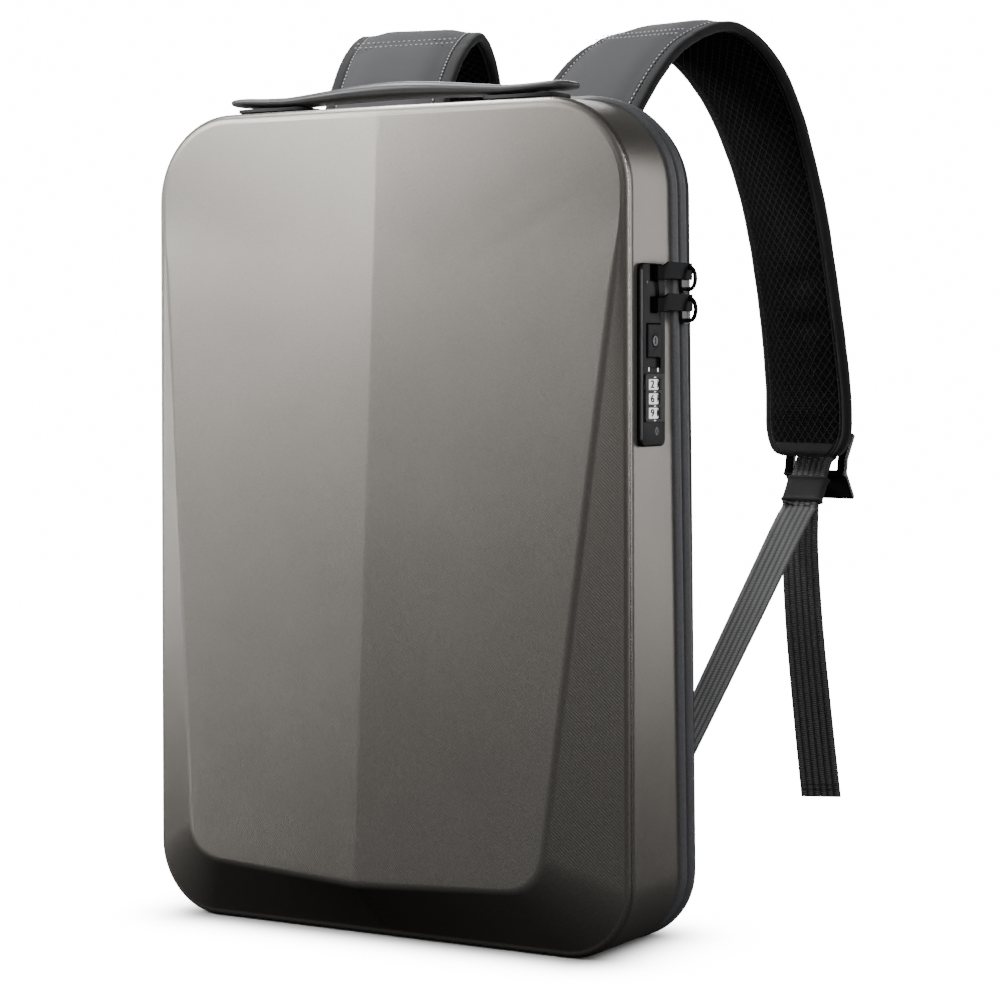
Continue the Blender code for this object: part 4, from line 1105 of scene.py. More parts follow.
def softened(node, name, finish, width, body="bag", angle=28, stretch=None):
    bm = bmesh.new()
    bm.from_mesh(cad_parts[node].data)
    if stretch:
        bm.transform(stretch)
    merge_doubles(bm)
    bmesh.ops.dissolve_limit(
        bm, angle_limit=math.radians(1.5), verts=bm.verts, edges=bm.edges, delimit=set(),
    )
    piece = finish_piece(name, bm, finish, body=body, stands_for=[node], smooth=45)
    soften_edges(piece, width, 3, angle).harden_normals = True
    return piece


for label in ("left", "right"):
    node, name = f"handle_base_{label}", f"handle_foot_{label}"
    softened(node, name, HANDLE_PLASTIC, 0.0004)

# %% [markdown]
# The lock is a black plate with three white dials, a release and two slots that hold the zip's
# pulls. The plate, the release and the key's face are softened copies. Round the dials stands a
# thin frame: a bevelled block with a window cut for each dial.

# %% Lock plate and frame
softened("lock_housing", "lock_plate", LOCK_BLACK, 0.00035)
softened("release_slide", "release", LOCK_BLACK, 0.0003, body="release")
softened("key_cylinder", "key_face", KEY_STEEL, 0.00015, body="key")
DIAL_MIDDLE = -0.0228
DIAL_PITCH = 0.00745
DIAL_LEVELS = [DIAL_MIDDLE + DIAL_PITCH * step for step in (1, 0, -1)]
PLATE_TOP = SEAM_GAP + LOCK_PLATE
DIAL_WINDOW_HALF = (0.0063, 0.00295)
# The frame's and the highlight rail's low and high corners over the plate's face
FRAME_LOW, FRAME_HIGH = (0.00005, -0.0098, -0.0347), (0.0008, 0.0108, -0.0098)
HIGHLIGHT_RAIL_LOW, HIGHLIGHT_RAIL_HIGH = (-0.0012, -0.01335, -0.0440), (0.0002, -0.01185, 0.0440)


def lock_piece(name, bm, finish, body="bag", smooth=40):
    """Finish a piece that was made in the lock's own frame."""
    bm.transform(LOCK_TURN)
    return finish_piece(name, bm, finish, body=body, smooth=smooth)


def bevel_edges(bm, edges, offset, segments):
    bmesh.ops.bevel(
        bm, geom=edges, offset=offset, segments=segments, profile=0.5, affect="EDGES", material=-1,
    )


frame_bm = bmesh.new()
block(frame_bm, FRAME_LOW, FRAME_HIGH)
bmesh.ops.translate(frame_bm, vec=(PLATE_TOP, 0, 0), verts=frame_bm.verts)
upright = [e for e in frame_bm.edges if abs(e.verts[0].co.x - e.verts[1].co.x) > 0.0004]
bevel_edges(frame_bm, upright, 0.0012, 5)
window_frame = lock_piece("dial_frame", frame_bm, FRAME_GREY)
windows = bmesh.new()
for level in DIAL_LEVELS:
    aside, tall = DIAL_WINDOW_HALF
    block(windows, (-0.004, -aside, level - tall), (0.008, aside, level + tall))
windows.transform(LOCK_TURN)
cut(window_frame, windows)
soften_edges(window_frame, 0.0002, 2)

# %% [markdown]
# The plate's front edge catches the light as one thin grey line. That highlight is painted: a slim
# light grey rail of its own, laid into the plate and rounded all over, because a bevel on the
# plate would be as black as it.

# %% Lock's front edge
highlight_rail_bm = bmesh.new()
block(highlight_rail_bm, HIGHLIGHT_RAIL_LOW, HIGHLIGHT_RAIL_HIGH)
bmesh.ops.translate(highlight_rail_bm, vec=(PLATE_TOP, 0, 0), verts=highlight_rail_bm.verts)
bevel_edges(highlight_rail_bm, highlight_rail_bm.edges[:], 0.0006, 4)
lock_piece("lock_edge_highlight", highlight_rail_bm, HIGHLIGHT_RAIL_GREY)

# %% [markdown]
# Each dial is a ten-sided drum with a shallow waist, and shows two of its flat faces through a
# window. Its digits are text turned into a mesh and laid on the faces, one for each face, so
# they turn with the drum when the joint moves.

# %% Dials with digits
DIAL_RADIUS = 0.0090
DIAL_AXIS_X = PLATE_TOP + 0.0016 - DIAL_RADIUS
DIAL_HEIGHT = 0.0055
DIAL_FACES = 10
DIAL_STEP = 2 * math.pi / DIAL_FACES
# Level as a share of the height, radius as a share of the full one
DIAL_PROFILE = (
    (-0.5, 0.955), (-0.42, 1.0), (-0.12, 0.985), (0.0, 0.975), (0.12, 0.985), (0.42, 1.0),
    (0.5, 0.955),
)
# Each corner of the drum is three points: a turn from the corner, and a share of the radius
DIAL_CORNER = ((-0.035, 0.992), (0.0, 1.0), (0.035, 0.992))
DIGIT_SIZE = 0.0056
DIGIT_GROWTH = 0.00010
DIGIT_THICKNESS = 0.00020
DIGIT_SINK = 0.998


def build_dial(number, level, shown):
    rows = []
    for z, grow in DIAL_PROFILE:
        ring = []
        for k in range(DIAL_FACES):
            for turn, near in DIAL_CORNER:
                a, radius = DIAL_STEP * k + turn, DIAL_RADIUS * grow * near
                ring.append((radius * math.cos(a), radius * math.sin(a), DIAL_HEIGHT * z))
        rows.append(ring)
    bm, _ = loft(rows)
    bm.transform(Matrix.Translation((DIAL_AXIS_X, 0, level)))
    dial = lock_piece(f"dial_{number}", bm, GLOWING_DIAL_WHITE, f"dial_{number}", 30)
    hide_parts(f"lock_dial_{number}")
    digits = bmesh.new()
    for k in range(DIAL_FACES):
        text = bpy.data.curves.new("digit", "FONT")
        text.body = str((shown + k) % DIAL_FACES)
        text.size = DIGIT_SIZE
        text.align_x = "CENTER"
        text.align_y = "CENTER"
        text.offset = DIGIT_GROWTH
        text.extrude = DIGIT_THICKNESS
        text.resolution_u = 2
        holder = bpy.data.objects.new("digit", text)
        mesh = bpy.data.meshes.new_from_object(holder)
        a = DIAL_STEP * (k + 0.5)
        flat = DIAL_RADIUS * math.cos(DIAL_STEP / 2) * DIGIT_SINK
        facing = Matrix.Rotation(a, 4, "Z")
        for axis in "YZ":
            facing = facing @ Matrix.Rotation(math.pi / 2, 4, axis)
        spot = Vector((DIAL_AXIS_X + flat * math.cos(a), flat * math.sin(a), level))
        mesh.transform(Matrix.Translation(spot) @ facing)
        digits.from_mesh(mesh)
        bpy.data.objects.remove(holder)
        bpy.data.curves.remove(text)
        bpy.data.meshes.remove(mesh)
    lock_piece(f"dial_{number}_digits", digits, DIGIT_INK_AND_SLOT_SHADE, f"dial_{number}", 30)


for number, (level, shown) in enumerate(zip(DIAL_LEVELS, (3, 7, 0)), 1):
    build_dial(number, level, shown)

# %% [markdown]
# Small fixings finish the lock: a rivet, a cross-headed screw, the pointers between the dials and
# two painted ticks by the release. The screw's slots are not cut: their shade is painted as dark
# bars laid into its head.

# %% Lock fixings
RIVET_PLACE, RIVET_RADIUS = (-0.0075, 0.0375), 0.0009
SCREW_PLACE, SCREW_RADIUS = (0.0030, -0.0395), 0.0024
SLOT_HALF = (0.0017, 0.0003)
POINTER_HALF = (0.0010, 0.00022)
TICK_HALF = (0.0006, 0.0010)
TICK_PLACES = ((-0.0052, -0.0075), (0.0045, -0.0078))


def disc(name, radius, sunk, proud, place):
    bm = bmesh.new()
    bmesh.ops.create_cone(
        bm, cap_ends=True, segments=24, radius1=radius, radius2=radius * 0.86,
        depth=sunk + proud, matrix=Matrix.Rotation(math.pi / 2, 4, "Y"),
    )
    bmesh.ops.translate(bm, vec=(PLATE_TOP + (proud - sunk) / 2, *place), verts=bm.verts)
    lock_piece(name, bm, KEY_STEEL)


def plaque(bm, low, high, half, place=(0.0, 0.0)):
    """A flat block on the plate, between two heights over its face."""
    (y, z), (aside, tall) = place, half
    return block(
        bm, (PLATE_TOP + low, y - aside, z - tall), (PLATE_TOP + high, y + aside, z + tall),
    )


disc("rivet", RIVET_RADIUS, 0.0002, 0.0003, RIVET_PLACE)
disc("screw", SCREW_RADIUS, 0.0003, 0.0002, SCREW_PLACE)
# Painted shade: dark bars on the screw head stand in for its shaded slots.
cross = bmesh.new()
for turn in (45, -45):
    bar = plaque(cross, -0.0001, 0.00026, SLOT_HALF)
    spin = Matrix.Rotation(math.radians(turn), 4, "X")
    bmesh.ops.transform(cross, matrix=Matrix.Translation((0, *SCREW_PLACE)) @ spin, verts=bar)
lock_piece("screw_slot_shade", cross, DIGIT_INK_AND_SLOT_SHADE)
pointers = bmesh.new()
for step in (1.5, 0.5, -0.5, -1.5):
    plaque(pointers, 0.0007, 0.00086, POINTER_HALF, (0.0, DIAL_MIDDLE + DIAL_PITCH * step))
for place in TICK_PLACES:
    plaque(pointers, 0.0, 0.00008, TICK_HALF, place)
lock_piece("pointers", pointers, GLOWING_DIAL_WHITE)

# %% [markdown]
# The zip's two sliders ride on the teeth. A wire bridge on each carries its pull, a flat black
# plate whose bent nose is locked in the plate's slot.

# %% Sliders and pulls
for label in ("upper", "lower"):
    softened(f"zip_slider_{label}", f"slider_{label}", ZIP_PAINT, 0.00025, angle=40)
    softened(f"zip_pull_{label}", f"pull_{label}", PULL_PAINT, 0.00042, angle=14)

# %% [markdown]
# A shoulder strap's middle line leaves the back panel, climbs over the crest and falls to the
# buckle, turning outwards on its way. In plan it follows a slow bend. The route is written as
# shares of its reach and height, so it can be set beside the photograph row by row, and a smooth
# path is drawn through it.

# %% Strap sizes
STRAP_WIDTH = 0.0780
STRAP_END_WIDTH = 0.0710
STRAP_THICKNESS = 0.0110
STRAP_REACH = 0.2100
STRAP_ROOT_X = 0.0630
STRAP_ROOT_Z = BODY_HEIGHT - 0.0550
STRAP_CREST_Z = BODY_HEIGHT + 0.0530
STRAP_END_Z = BODY_HEIGHT - 0.1965
STRAP_SPLAY = 11.2
STRAP_TURN = 12.0
STRAP_FACE_TURN = 27.0
LEFT_CREST_RISE = 0.006
PLAN_STEPS = 24

# Share of the reach, share of the climb or drop, share of the face's turn outwards
STRAP_CLIMB = (
    (0.000, 0.00, 0.00), (0.004, 0.17, 0.00), (0.050, 0.38, 0.15), (0.150, 0.62, 0.32),
    (0.270, 0.84, 0.42), (0.400, 0.965, 0.47),
)
STRAP_FALL = (
    (0.510, 0.000, 0.52), (0.620, 0.030, 0.62), (0.720, 0.095, 0.75), (0.800, 0.190, 0.88),
    (0.865, 0.310, 0.98), (0.915, 0.440, 1.00), (0.962, 0.630, 0.98), (0.992, 0.800, 0.90),
    (1.000, 0.920, 0.82), (0.996, 1.000, 0.80),
)


def strap_plan(side, reach):
    x, y = STRAP_ROOT_X, 0.0
    step = reach / PLAN_STEPS
    for i in range(PLAN_STEPS):
        turn = math.radians(STRAP_SPLAY + STRAP_TURN * step * (i + 0.5) / STRAP_REACH)
        x += step * math.sin(turn)
        y += step * math.cos(turn)
    return side * x, y


def strap_stations(side, steps=10):
    crest = STRAP_CREST_Z + (LEFT_CREST_RISE if side < 0 else 0.0)
    rows = [(share, mix(STRAP_ROOT_Z, crest, up), turn) for share, up, turn in STRAP_CLIMB]
    rows += [(share, mix(crest, STRAP_END_Z, down), turn) for share, down, turn in STRAP_FALL]
    root_y = back_line(STRAP_ROOT_Z) + PAD_THICKNESS + SEAM_GAP + STRAP_THICKNESS / 2
    points, across = [], []
    for share, z, turn in rows:
        x, y = strap_plan(side, STRAP_REACH * share)
        points.append(Vector((x, root_y + y, z)))
        a = math.radians(STRAP_FACE_TURN * turn)
        across.append(Vector((math.cos(a), -side * math.sin(a), 0)))
    return curve_through(points, steps), curve_through(across, steps)


def frames_along(path, across):
    """(point, along, width direction, outer face direction, distance) at each station."""
    last = len(path) - 1
    run = 0.0
    stations = []
    for i, point in enumerate(path):
        along = (path[min(i + 1, last)] - path[max(i - 1, 0)]).normalized()
        wide = (across[i] - along * across[i].dot(along)).normalized()
        run += (point - path[i - 1]).length if i else 0.0
        stations.append((point, along, wide, wide.cross(along), run))
    return stations


print("strap length", round(frames_along(*strap_stations(1))[-1][4], 3), "m")

# %% [markdown]
# The strap is a foam pad with three skins: smooth grey cloth outside, netting inside, and a
# binding folded round its edge. At each station a section is drawn across the path: thin and
# flat at the binding, a sewn groove, then the swell of the foam. Each face takes the skin of its
# place, and the points beside the binding are kept as lines for the stitches.

# %% Strap section
BINDING_WIDTH = 0.0072
PIPE_WIDTH = 0.0048
EDGE_STEPS = (
    0.0, 0.0003, 0.0010, 0.0022, 0.0036, 0.0044, 0.0048, 0.0052, 0.0060, 0.0068, 0.0072, 0.0076,
    0.0084,
)
MIDDLE_SHARES = (0.08, 0.19, 0.33, 0.5, 0.75, 1.0)
EDGE_THICKNESS = 0.0060
EDGE_ROLL = 0.0022
SEWN_THICKNESS = 0.0068
SWELL_START, SWELL_REACH = 0.0070, 0.0150
GROOVE_DEPTH, GROOVE_WIDTH = 0.0007, 0.0006
END_ROUND, END_NARROW = 0.022, 0.62
CREST_SEAM, CREST_SEAM_WIDTH, CREST_SEAM_DEPTH = 0.128, 0.0011, 0.0008
CREST_STITCHES = (0.1245, 0.1315)
QUILTED_AT = (0.345, 0.372)
QUILT_ASIDE, QUILT_LONG, QUILT_SHORT, QUILT_DEPTH = 0.012, 0.012, 0.004, 0.0028
CLOTH_LUMPS = 0.00035
THREAD_LIFT = 0.00018


def bell(offset, width):
    return math.exp(-(offset / width) ** 2)


def round_in(share):
    """From 0 to 1 as a quarter circle rises."""
    return math.sqrt(max(1 - max(1 - share, 0.0) ** 2, 0.0))


def skin_height(inset, fullness, outer):
    """Half thickness at a distance in from the strap's edge."""
    full = mix(SEWN_THICKNESS, STRAP_THICKNESS, fullness)
    swelling = clamped((inset - SWELL_START) / SWELL_REACH)
    swelling = swelling * swelling * (3 - 2 * swelling)
    height = mix(EDGE_THICKNESS, full, swelling) / 2 * round_in(inset / EDGE_ROLL)
    for groove in (BINDING_WIDTH,) if outer else (PIPE_WIDTH, BINDING_WIDTH):
        height -= GROOVE_DEPTH * bell(inset - groove, GROOVE_WIDTH)
    return height


def build_strap(side, label):
    path, across = strap_stations(side)
    stations = frames_along(path, across)
    total = stations[-1][4]
    turn_out = 1 if stations[0][3].y < 0 else -1
    rows = []
    marks = {True: [[], []], False: [[], []]}
    for i, (point, along, wide, face, run) in enumerate(stations):
        out = face * turn_out
        share = i / (len(stations) - 1)
        width = mix(STRAP_WIDTH, STRAP_END_WIDTH, max(2 * share - 1, 0.0))
        left = total - run
        width *= mix(END_NARROW, 1.0, round_in(left / END_ROUND))
        fullness = min(run / 0.055, 1.0) * clamped((left - 0.006) / 0.02)
        thin = 1.0 if left > 0.004 else math.sqrt(max(1 - (1 - left / 0.004) ** 2, 0.05))
        half = width / 2
        insets = list(EDGE_STEPS) + [mix(EDGE_STEPS[-1], half, t) for t in MIDDLE_SHARES]
        row = []
        for outer in (True, False):
            signs = [(-1, d) for d in insets] + [(1, d) for d in insets[-2::-1]]
            if not outer:
                signs = signs[::-1]
            for sign, d in signs if outer else signs[1:-1]:
                lump = noise.noise(point * 60 + wide * d * 40 + out * (3 if outer else 9))
                height = skin_height(d, fullness, outer) * thin + CLOTH_LUMPS * lump * fullness
                across_by = sign * (half - d)
                if outer:
                    seam = bell(run - CREST_SEAM, CREST_SEAM_WIDTH)
                    height -= CREST_SEAM_DEPTH * fullness * seam
                else:
                    aside = bell(across_by * side - QUILT_ASIDE, QUILT_LONG)
                    for dent in QUILTED_AT:
                        near = bell(run - dent, QUILT_SHORT) * aside
                        height -= QUILT_DEPTH * near * fullness
                row.append((
                    point + wide * across_by + out * (height if outer else -height),
                    across_by, outer, d,
                ))
        rows.append(row)
        for outer, up in ((True, out), (False, -out)):
            inset = BINDING_WIDTH + (0.0009 if outer else -0.0011)
            lift = up * (skin_height(inset, fullness, outer) * thin + THREAD_LIFT)
            if left > 0.012 and run > 0.045:
                for line, sign in zip(marks[outer], (-1, 1)):
                    line.append((point + wide * sign * (half - inset) + lift, up))
    for stitched_at in CREST_STITCHES:
        point, along, wide, face, run = min(stations, key=lambda s: abs(s[4] - stitched_at))
        out = face * turn_out
        high = out * (STRAP_THICKNESS / 2 + 0.0001)
        reach = wide * (STRAP_WIDTH / 2 - BINDING_WIDTH - 0.001)
        marks[True].append([(point + reach * sign + high, out) for sign in (-1, 1)])
    bm, made = loft([[p[0] for p in row] for row in rows])
    info = {}
    for (_, _, _, _, run), row, verts in zip(stations, rows, made):
        for (spot, across_by, outer, d), v in zip(row, verts):
            info[v] = (across_by, run, outer, d)
    for f in bm.faces:
        inner_share = sum(not info[v][2] for v in f.verts) / len(f.verts)
        inset = sum(info[v][3] for v in f.verts) / len(f.verts)
        end_share = total - sum(info[v][1] for v in f.verts) / len(f.verts)
        inset = min(inset, end_share)
        if len(f.verts) > 4 or inset < BINDING_WIDTH:
            f.material_index = 2
        else:
            f.material_index = 1 if inner_share > 0.5 else 0
    lay_uv(bm, lambda face, vert: info[vert][:2])
    strap = finish_piece(
        f"strap_{label}", bm, (FACE_CLOTH, SPACER_NET, BINDING_CLOTH),
        stands_for=[f"shoulder_strap_{label}"], smooth=70,
    )
    return stations, turn_out, marks

# %% [markdown]
# Stitches are short threads laid end to end along a sewn line. One stitch is an icosphere drawn
# out into a grain, and its copies walk along the line at an even pitch.

# %% Stitches
def stitch_line(bm, line, pitch=0.0032, length=0.0019, width=0.00045):
    """Stitches along a line of (point, direction out of the cloth)."""
    size = Matrix.Diagonal((length / 2, width, width, 1))
    for spot, along, stretch in walk([point for point, _ in line], pitch):
        side = along.cross(line[stretch][1]).normalized()
        place = Matrix.Translation(spot) @ axes(along, side, side.cross(along)) @ size
        bmesh.ops.create_icosphere(bm, subdivisions=1, radius=1, matrix=place)


STRAPS = {}
for side, label in ((-1, "left"), (1, "right")):
    stations, turn_out, marks = build_strap(side, label)
    STRAPS[side] = (stations, turn_out)
    for outer, name, thread, width in (
        (True, "strap_stitches", THREAD, 0.00045), (False, "strap_seam", DARK_THREAD, 0.00026),
    ):
        sewn = bmesh.new()
        for line in marks[outer]:
            stitch_line(sewn, line, width=width)
        finish_piece(f"{name}_{label}", sewn, thread, turn_out=False)

# %% [markdown]
# Below each pad hangs a ladder buckle. Its frame is set by three turns: back from the strap's
# end, round with the strap, and leant back. Webbing, keeper and buckle are all laid out in that
# one frame, so they stay threaded together.

# %% Buckle frame
WEBBING_THICKNESS = 0.0014
PLY_SPACING = 0.0021
BUCKLE_TOP = 0.0165
BUCKLE_LOW = -0.0115
BUCKLE_BAR_Z = 0.0040
BAR_DEPTH = 0.0032
BAR_HEIGHT = 0.0040
KEEPER_LENGTH = 0.0165
KEEPER_Z = BUCKLE_LOW - 0.0030 - KEEPER_LENGTH / 2
PLY_OFF = BAR_DEPTH / 2 + SEAM_GAP + WEBBING_THICKNESS / 2
BUCKLE_HANG = Vector((0, 0.0140, -0.0010))
BUCKLE_TURN = 12
BUCKLE_LEAN = -28
BUCKLE_STRETCH = Matrix.Diagonal((1.22, 1.15, 1.0, 1.0))


def buckle_place(side):
    end = STRAPS[side][0][-1][0]
    turn = Matrix.Rotation(-side * math.radians(BUCKLE_TURN), 4, "Z")
    lean = Matrix.Rotation(math.radians(BUCKLE_LEAN), 4, "X")
    return Matrix.Translation(end + BUCKLE_HANG) @ turn @ lean


for side, label in ((-1, "left"), (1, "right")):
    place = buckle_place(side)
    softened(
        f"buckle_{label}", f"ladder_buckle_{label}", BUCKLE_BLACK, 0.0009,
        stretch=place @ BUCKLE_STRETCH @ place.inverted(),
    )

# %% [markdown]
# Webbing is woven in six ribs with a slight valley between them, so its section is a wavy band.
# A UV map in metres follows it round every bend and carries the weave. The long piece is sewn to
# the back panel, goes up through the keeper and round the buckle's middle bar, and hangs down to
# its tail. A short loop holds the buckle on the strap.

# %% Webbing
WEBBING_RIBS = 6
POINTS_PER_RIB = 4
VALLEY_DEPTH = 0.00013
EDGE_THINNING = 0.55


def webbing_row():
    """(share of half width, height) round one section of webbing."""
    count = WEBBING_RIBS * POINTS_PER_RIB
    top = []
    for k in range(count + 1):
        valley = math.cos(math.pi * 2 * k / POINTS_PER_RIB) * 0.5 + 0.5
        edge = EDGE_THINNING if k in (0, count) else 1.0
        top.append((-1 + 2 * k / count, (WEBBING_THICKNESS / 2 - VALLEY_DEPTH * valley) * edge))
    return top + [(s, -h) for s, h in reversed(top)]


def build_webbing(name, path, across, node):
    stations = frames_along(path, across)
    section = webbing_row()
    rows = [
        [point + wide * (WEBBING_WIDTH / 2 * s) + face * h for s, h in section]
        for point, along, wide, face, run in stations
    ]
    bm, made = loft(rows)
    where = {}
    for (_, _, _, _, run), verts in zip(stations, made):
        for (s, h), v in zip(section, verts):
            where[v] = (WEBBING_WIDTH / 2 * s, run)
    lay_uv(bm, lambda face, vert: where[vert])
    finish_piece(name, bm, WEBBING_WEAVE, stands_for=[node], smooth=50)


def bar_wrap(off, over, middle, steps=16):
    points = []
    for k in range(steps + 1):
        a = math.pi * k / steps
        c = math.cos(a)
        points.append((-off * rounded(c, 0.4), middle + over * math.sin(a) ** 0.4))
    return points


FOOT_INSET, FOOT_Z, FOOT_SLANT = 0.0180, 0.0580, math.radians(35)
SEAT_LENGTH = 0.0220
TAIL_INSET, TAIL_Y, TAIL_Z = 0.0300, 0.2690, 0.0430
TAIL_SAG = Vector((0, 0.0080, 0))
TAIL_TURN = math.radians(-9)
LOOP_STATIONS = (36, 31, 26, 21)


def adjuster_route(side):
    place = buckle_place(side)
    over = BAR_HEIGHT / 2 + SEAM_GAP * 2 + WEBBING_THICKNESS / 2
    inner = PLY_SPACING - PLY_OFF
    low = KEEPER_Z - KEEPER_LENGTH * 0.6
    high = KEEPER_Z + KEEPER_LENGTH / 2

    def at(y, z):
        return place @ Vector((0, y, z))

    climb = Vector((-side * math.sin(FOOT_SLANT), 0, math.cos(FOOT_SLANT)))
    foot = Vector((side * (HALF_WIDTH - FOOT_INSET), 0, FOOT_Z))
    seat = []
    for share, raised in ((0.0, 0.0), (0.5, 0.0), (0.9, 2.0)):
        spot = foot + climb * (SEAT_LENGTH * share)
        rest = back_line(spot.z) + PAD_THICKNESS + SEAM_GAP * 2
        spot.y = rest + WEBBING_THICKNESS * (0.5 + raised)
        seat.append(spot)
    run = at(-PLY_OFF, low) - seat[-1]
    front = curve_through(seat + [
        seat[-1] + run * 0.12, seat[-1] + run * 0.50, seat[-1] + run * 0.90,
        at(-PLY_OFF, low - KEEPER_LENGTH * 0.2), at(-PLY_OFF, low), at(-PLY_OFF, KEEPER_Z),
        at(-PLY_OFF, high), at(-PLY_OFF, mix(high, BUCKLE_BAR_Z, 0.5)),
    ], 8)
    wrap = [at(y, z) for y, z in bar_wrap(PLY_OFF, over, BUCKLE_BAR_Z)]
    second = curve_through([
        at(PLY_OFF, BUCKLE_BAR_Z - BAR_HEIGHT * 0.8),
        at(mix(PLY_OFF, inner, 0.7), -0.4 * BAR_HEIGHT), at(inner, -BAR_HEIGHT),
        at(inner, high), at(inner, KEEPER_Z), at(inner, low),
    ], 4)
    top = at(inner, low)
    end = Vector((side * (HALF_WIDTH - TAIL_INSET), TAIL_Y, TAIL_Z))
    tail = curve_through([
        top.lerp(end, share) - TAIL_SAG * sag
        for share, sag in ((0.0, 0.0), (0.15, 0.8), (0.40, 1.0), (0.70, 0.6), (1.0, 0.0))
    ], 14)[1:]
    across_top = (place.to_3x3() @ Vector((1, 0, 0))).normalized()
    foot_across = Vector((climb.z, 0, -climb.x))
    tail_across = Vector((math.cos(TAIL_TURN), -side * math.sin(TAIL_TURN), 0))
    across = [
        foot_across.lerp(across_top, clamped((i / 4 - 4) / 6)).normalized()
        for i in range(len(front))
    ]
    across += [across_top] * (len(wrap) + len(second))
    across += [
        across_top.lerp(tail_across, (i + 1) / len(tail)).normalized() for i in range(len(tail))
    ]
    return front + wrap + second + tail, across


def stub_route(side):
    """From its seam on the strap's outer face, round the buckle's top bar."""
    place = buckle_place(side)
    stations, turn_out = STRAPS[side]
    reach = STRAP_THICKNESS / 2 + SEAM_GAP * 3 + WEBBING_THICKNESS / 2
    off = BAR_DEPTH / 2 + SEAM_GAP * 2 + WEBBING_THICKNESS / 2
    under = BAR_HEIGHT / 2 + SEAM_GAP * 2 + WEBBING_THICKNESS / 2
    bar = BUCKLE_TOP - BAR_HEIGHT / 2
    buckle_across = (place.to_3x3() @ Vector((1, 0, 0))).normalized()
    points, turned = [], []
    for back in LOOP_STATIONS:
        point, along, wide, face, run = stations[-back]
        points.append(point + face * turn_out * reach)
        turned.append(wide)
    leave = points[-1]
    meet = place @ Vector((0, off, bar + BAR_HEIGHT))
    points += [leave.lerp(meet, 0.35), leave.lerp(meet, 0.7)]
    turned += [turned[-1].lerp(buckle_across, 0.3), turned[-1].lerp(buckle_across, 0.8)]
    wrap = [(off, bar + BAR_HEIGHT)]
    wrap += [(-y, 2 * bar - z) for y, z in bar_wrap(off, under, bar, 12)]
    wrap.append((-off, bar + BAR_HEIGHT * 0.7))
    points += [place @ Vector((0, y, z)) for y, z in wrap]
    turned += [buckle_across] * len(wrap)
    return curve_through(points, 4), curve_through(turned, 4)


for side, label in ((-1, "left"), (1, "right")):
    path, across = adjuster_route(side)
    build_webbing(f"webbing_{label}", path, across, f"adjuster_webbing_{label}")
    stub_path, stub_across = stub_route(side)
    build_webbing(f"loop_webbing_{label}", stub_path, stub_across, f"strap_loop_{label}")
    sewn = bmesh.new()
    ends = frames_along(path, across)
    for index in (-3, -4):
        point, along, wide, face, run = ends[index]
        for up in (1, -1):
            lift = face * up * (WEBBING_THICKNESS / 2 + 0.00008)
            stitch_line(
                sewn,
                [(point + wide * WEBBING_WIDTH * s + lift, face * up) for s in (-0.46, 0.46)],
                pitch=0.0022, length=0.0017,
            )
    finish_piece(f"tail_stitches_{label}", sewn, DARK_THREAD, turn_out=False)

# %% [markdown]
# The keeper is a sleeve of folded cloth round both runs of webbing. Its section is a flat rounded
# band; the rims are turned in, so they stand a little thicker than the middle.

# %% Keepers
KEEPER_WALL = 0.0011
# End as a share of the half length, and the wall's thickness there as a share of the full one
KEEPER_PROFILE = (
    (-1.0, 0.0), (-1.0, 0.9), (-0.94, 1.35), (-0.82, 1.4), (-0.76, 1.0), (-0.5, 0.92), (0.0, 0.9),
    (0.5, 0.92), (0.76, 1.0), (0.82, 1.4), (0.94, 1.35), (1.0, 0.9), (1.0, 0.0),
)


def build_keeper(side, label):
    place = buckle_place(side)
    middle = (PLY_SPACING - BAR_DEPTH - SEAM_GAP * 2 - WEBBING_THICKNESS) / 2
    inner_w = WEBBING_WIDTH / 2 + SEAM_GAP * 2
    inner_t = (PLY_SPACING + WEBBING_THICKNESS) / 2 + SEAM_GAP
    rows = []
    for end, grow in KEEPER_PROFILE:
        wall = KEEPER_WALL * grow
        w, t = inner_w + wall, inner_t + wall
        row = []
        for k in range(48):
            a = 2 * math.pi * k / 48
            c, s = math.cos(a), math.sin(a)
            row.append(place @ Vector((
                w * rounded(c, 0.28), middle + t * rounded(s, 0.5),
                KEEPER_Z + KEEPER_LENGTH / 2 * end,
            )))
        rows.append(row)
    rows.append(rows[0])
    bm, _ = loft(rows, caps=False)
    merge_doubles(bm, 0.000001)
    back = place.inverted()

    def spread(face, vert):
        spot = back @ vert.co
        return spot.x + spot.y, spot.z

    lay_uv(bm, spread)
    finish_piece(
        f"sleeve_{label}", bm, KEEPER_CLOTH, stands_for=[f"keeper_{label}"],
    )


for side, label in ((-1, "left"), (1, "right")):
    build_keeper(side, label)

# %% [markdown]
# The bag stands on a large pale sheet of paper, which the photograph shows as pure white with a
# soft shadow where the bag meets it. A lit floor would need far more light than the bag wants, so
# the paper glows, and under the bag the glow is darkened by a painted contact shadow. The floor is
# hidden from the bag's own light and reflections.

# %% Floor
FLOOR_GLOW = 16.0
BACKDROP_GLOW = 16.0
ROOM_GLOW = 0.026
PAINTED_SHADOW_FADE = 900.0
PAINTED_SHADOW_HALF = (0.115, 0.030)
FLOOR_DROP = -0.0002


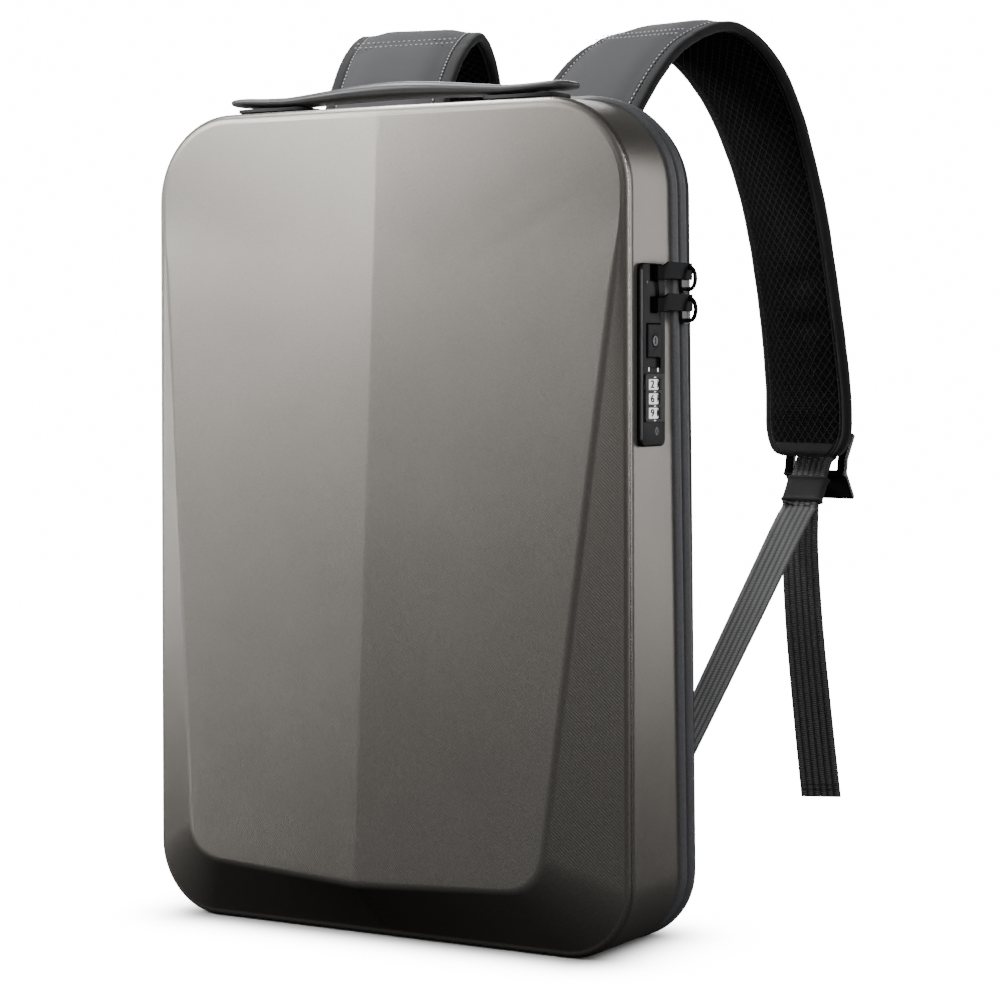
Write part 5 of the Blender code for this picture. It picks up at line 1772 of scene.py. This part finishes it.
def build_floor():
    bm = bmesh.new()
    bmesh.ops.create_grid(bm, x_segments=2, y_segments=2, size=9)
    bmesh.ops.translate(bm, vec=(0, 0, FLOOR_DROP), verts=bm.verts)
    mesh = bpy.data.meshes.new("floor")
    bm.to_mesh(mesh)
    bm.free()
    finish, tree, shader = new_finish("floor_paper_painted_shadow", (0.9, 0.9, 0.9), 0.9)
    place, x, y, _ = coordinates(tree)
    relief(shader, uneven(place, 90, 2), 0.0002, 0.1)
    # Painted shadow: the glow fades to dark round the bag's footprint.
    past = [
        maths("MAXIMUM", abs(way) - half, 0.0) for way, half in zip((x, y), PAINTED_SHADOW_HALF)
    ]
    shade = maths("EXPONENT", (past[0] ** 2.0 + past[1] ** 2.0) * -PAINTED_SHADOW_FADE)
    glow = (1.0 - shade) ** 2.0 * FLOOR_GLOW
    settle(shader, Emission_Color=(1, 1, 1, 1), Emission_Strength=glow)
    mesh.materials.append(finish)
    floor = bpy.data.objects.new("floor", mesh)
    bpy.context.collection.objects.link(floor)
    floor.visible_diffuse = False
    floor.visible_glossy = False


build_floor()
print("floor glows at", FLOOR_GLOW)

# %% [markdown]
# A satin shell shows its lights as much as its colour, so each soft box is placed by what should
# see it: one for the front and one for its foot, one each for the left chamfer, the top edge, the
# round edge by the lock and the side wall, and two behind for the straps. The world is a dim
# room, darker below, with a white backdrop that only the camera sees.

# %% Lights
SOFT_BOXES = {
    # name: place, aim, width, height, power
    "key_box": ((-0.87, -0.94, 0.90), (0, 0, 0.44), 0.40, 0.34, 12.0),
    "low_box": ((-1.10, -0.77, 0.18), (0, 0, 0.20), 0.12, 0.70, 1.2),
    "left_box": ((-1.30, 0.00, 0.34), (0, 0, 0.28), 0.25, 0.60, 2.6),
    "top_box": ((-0.45, 0.0, 1.25), (0, 0, 0.45), 0.8, 0.16, 9),
    "edge_box": ((1.20, -0.62, 0.66), (0.15, 0, 0.36), 0.03, 0.8, 4.0),
    "side_box": ((1.50, 0.00, 0.50), (0.15, 0, 0.30), 0.5, 0.8, 2.4),
    "rear_box": ((0.85, 1.15, 0.46), (0.15, 0, 0.26), 0.40, 0.9, 2.9),
    "back_box": ((-0.70, 1.50, 0.90), (0, 0.10, 0.25), 0.6, 0.6, 9),
}


def soft_box(name, spot, aim, width, height, power):
    data = bpy.data.lights.new(name, "AREA")
    data.shape = "RECTANGLE"
    data.size = width
    data.size_y = height
    data.energy = power
    lamp = bpy.data.objects.new(name, data)
    lamp.location = spot
    lamp.rotation_euler = (Vector(aim) - Vector(spot)).to_track_quat("-Z", "Y").to_euler()
    bpy.context.collection.objects.link(lamp)


world = bpy.data.worlds.new("studio")
world.use_nodes = True
world_tree = world.node_tree
seen = Flow(world_tree.nodes.new("ShaderNodeLightPath").outputs["Is Camera Ray"])
up = coordinates(world_tree, "Generated")[3]
room = clamp(up * 2.0 + 0.4, 0.25, 1.0) * ROOM_GLOW
settle(
    world_tree.nodes["Background"], Color=(1, 1, 1, 1), Strength=seen * BACKDROP_GLOW + room,
)
bpy.context.scene.world = world
for name, setting in SOFT_BOXES.items():
    soft_box(name, *setting)
print("lights", len(SOFT_BOXES))
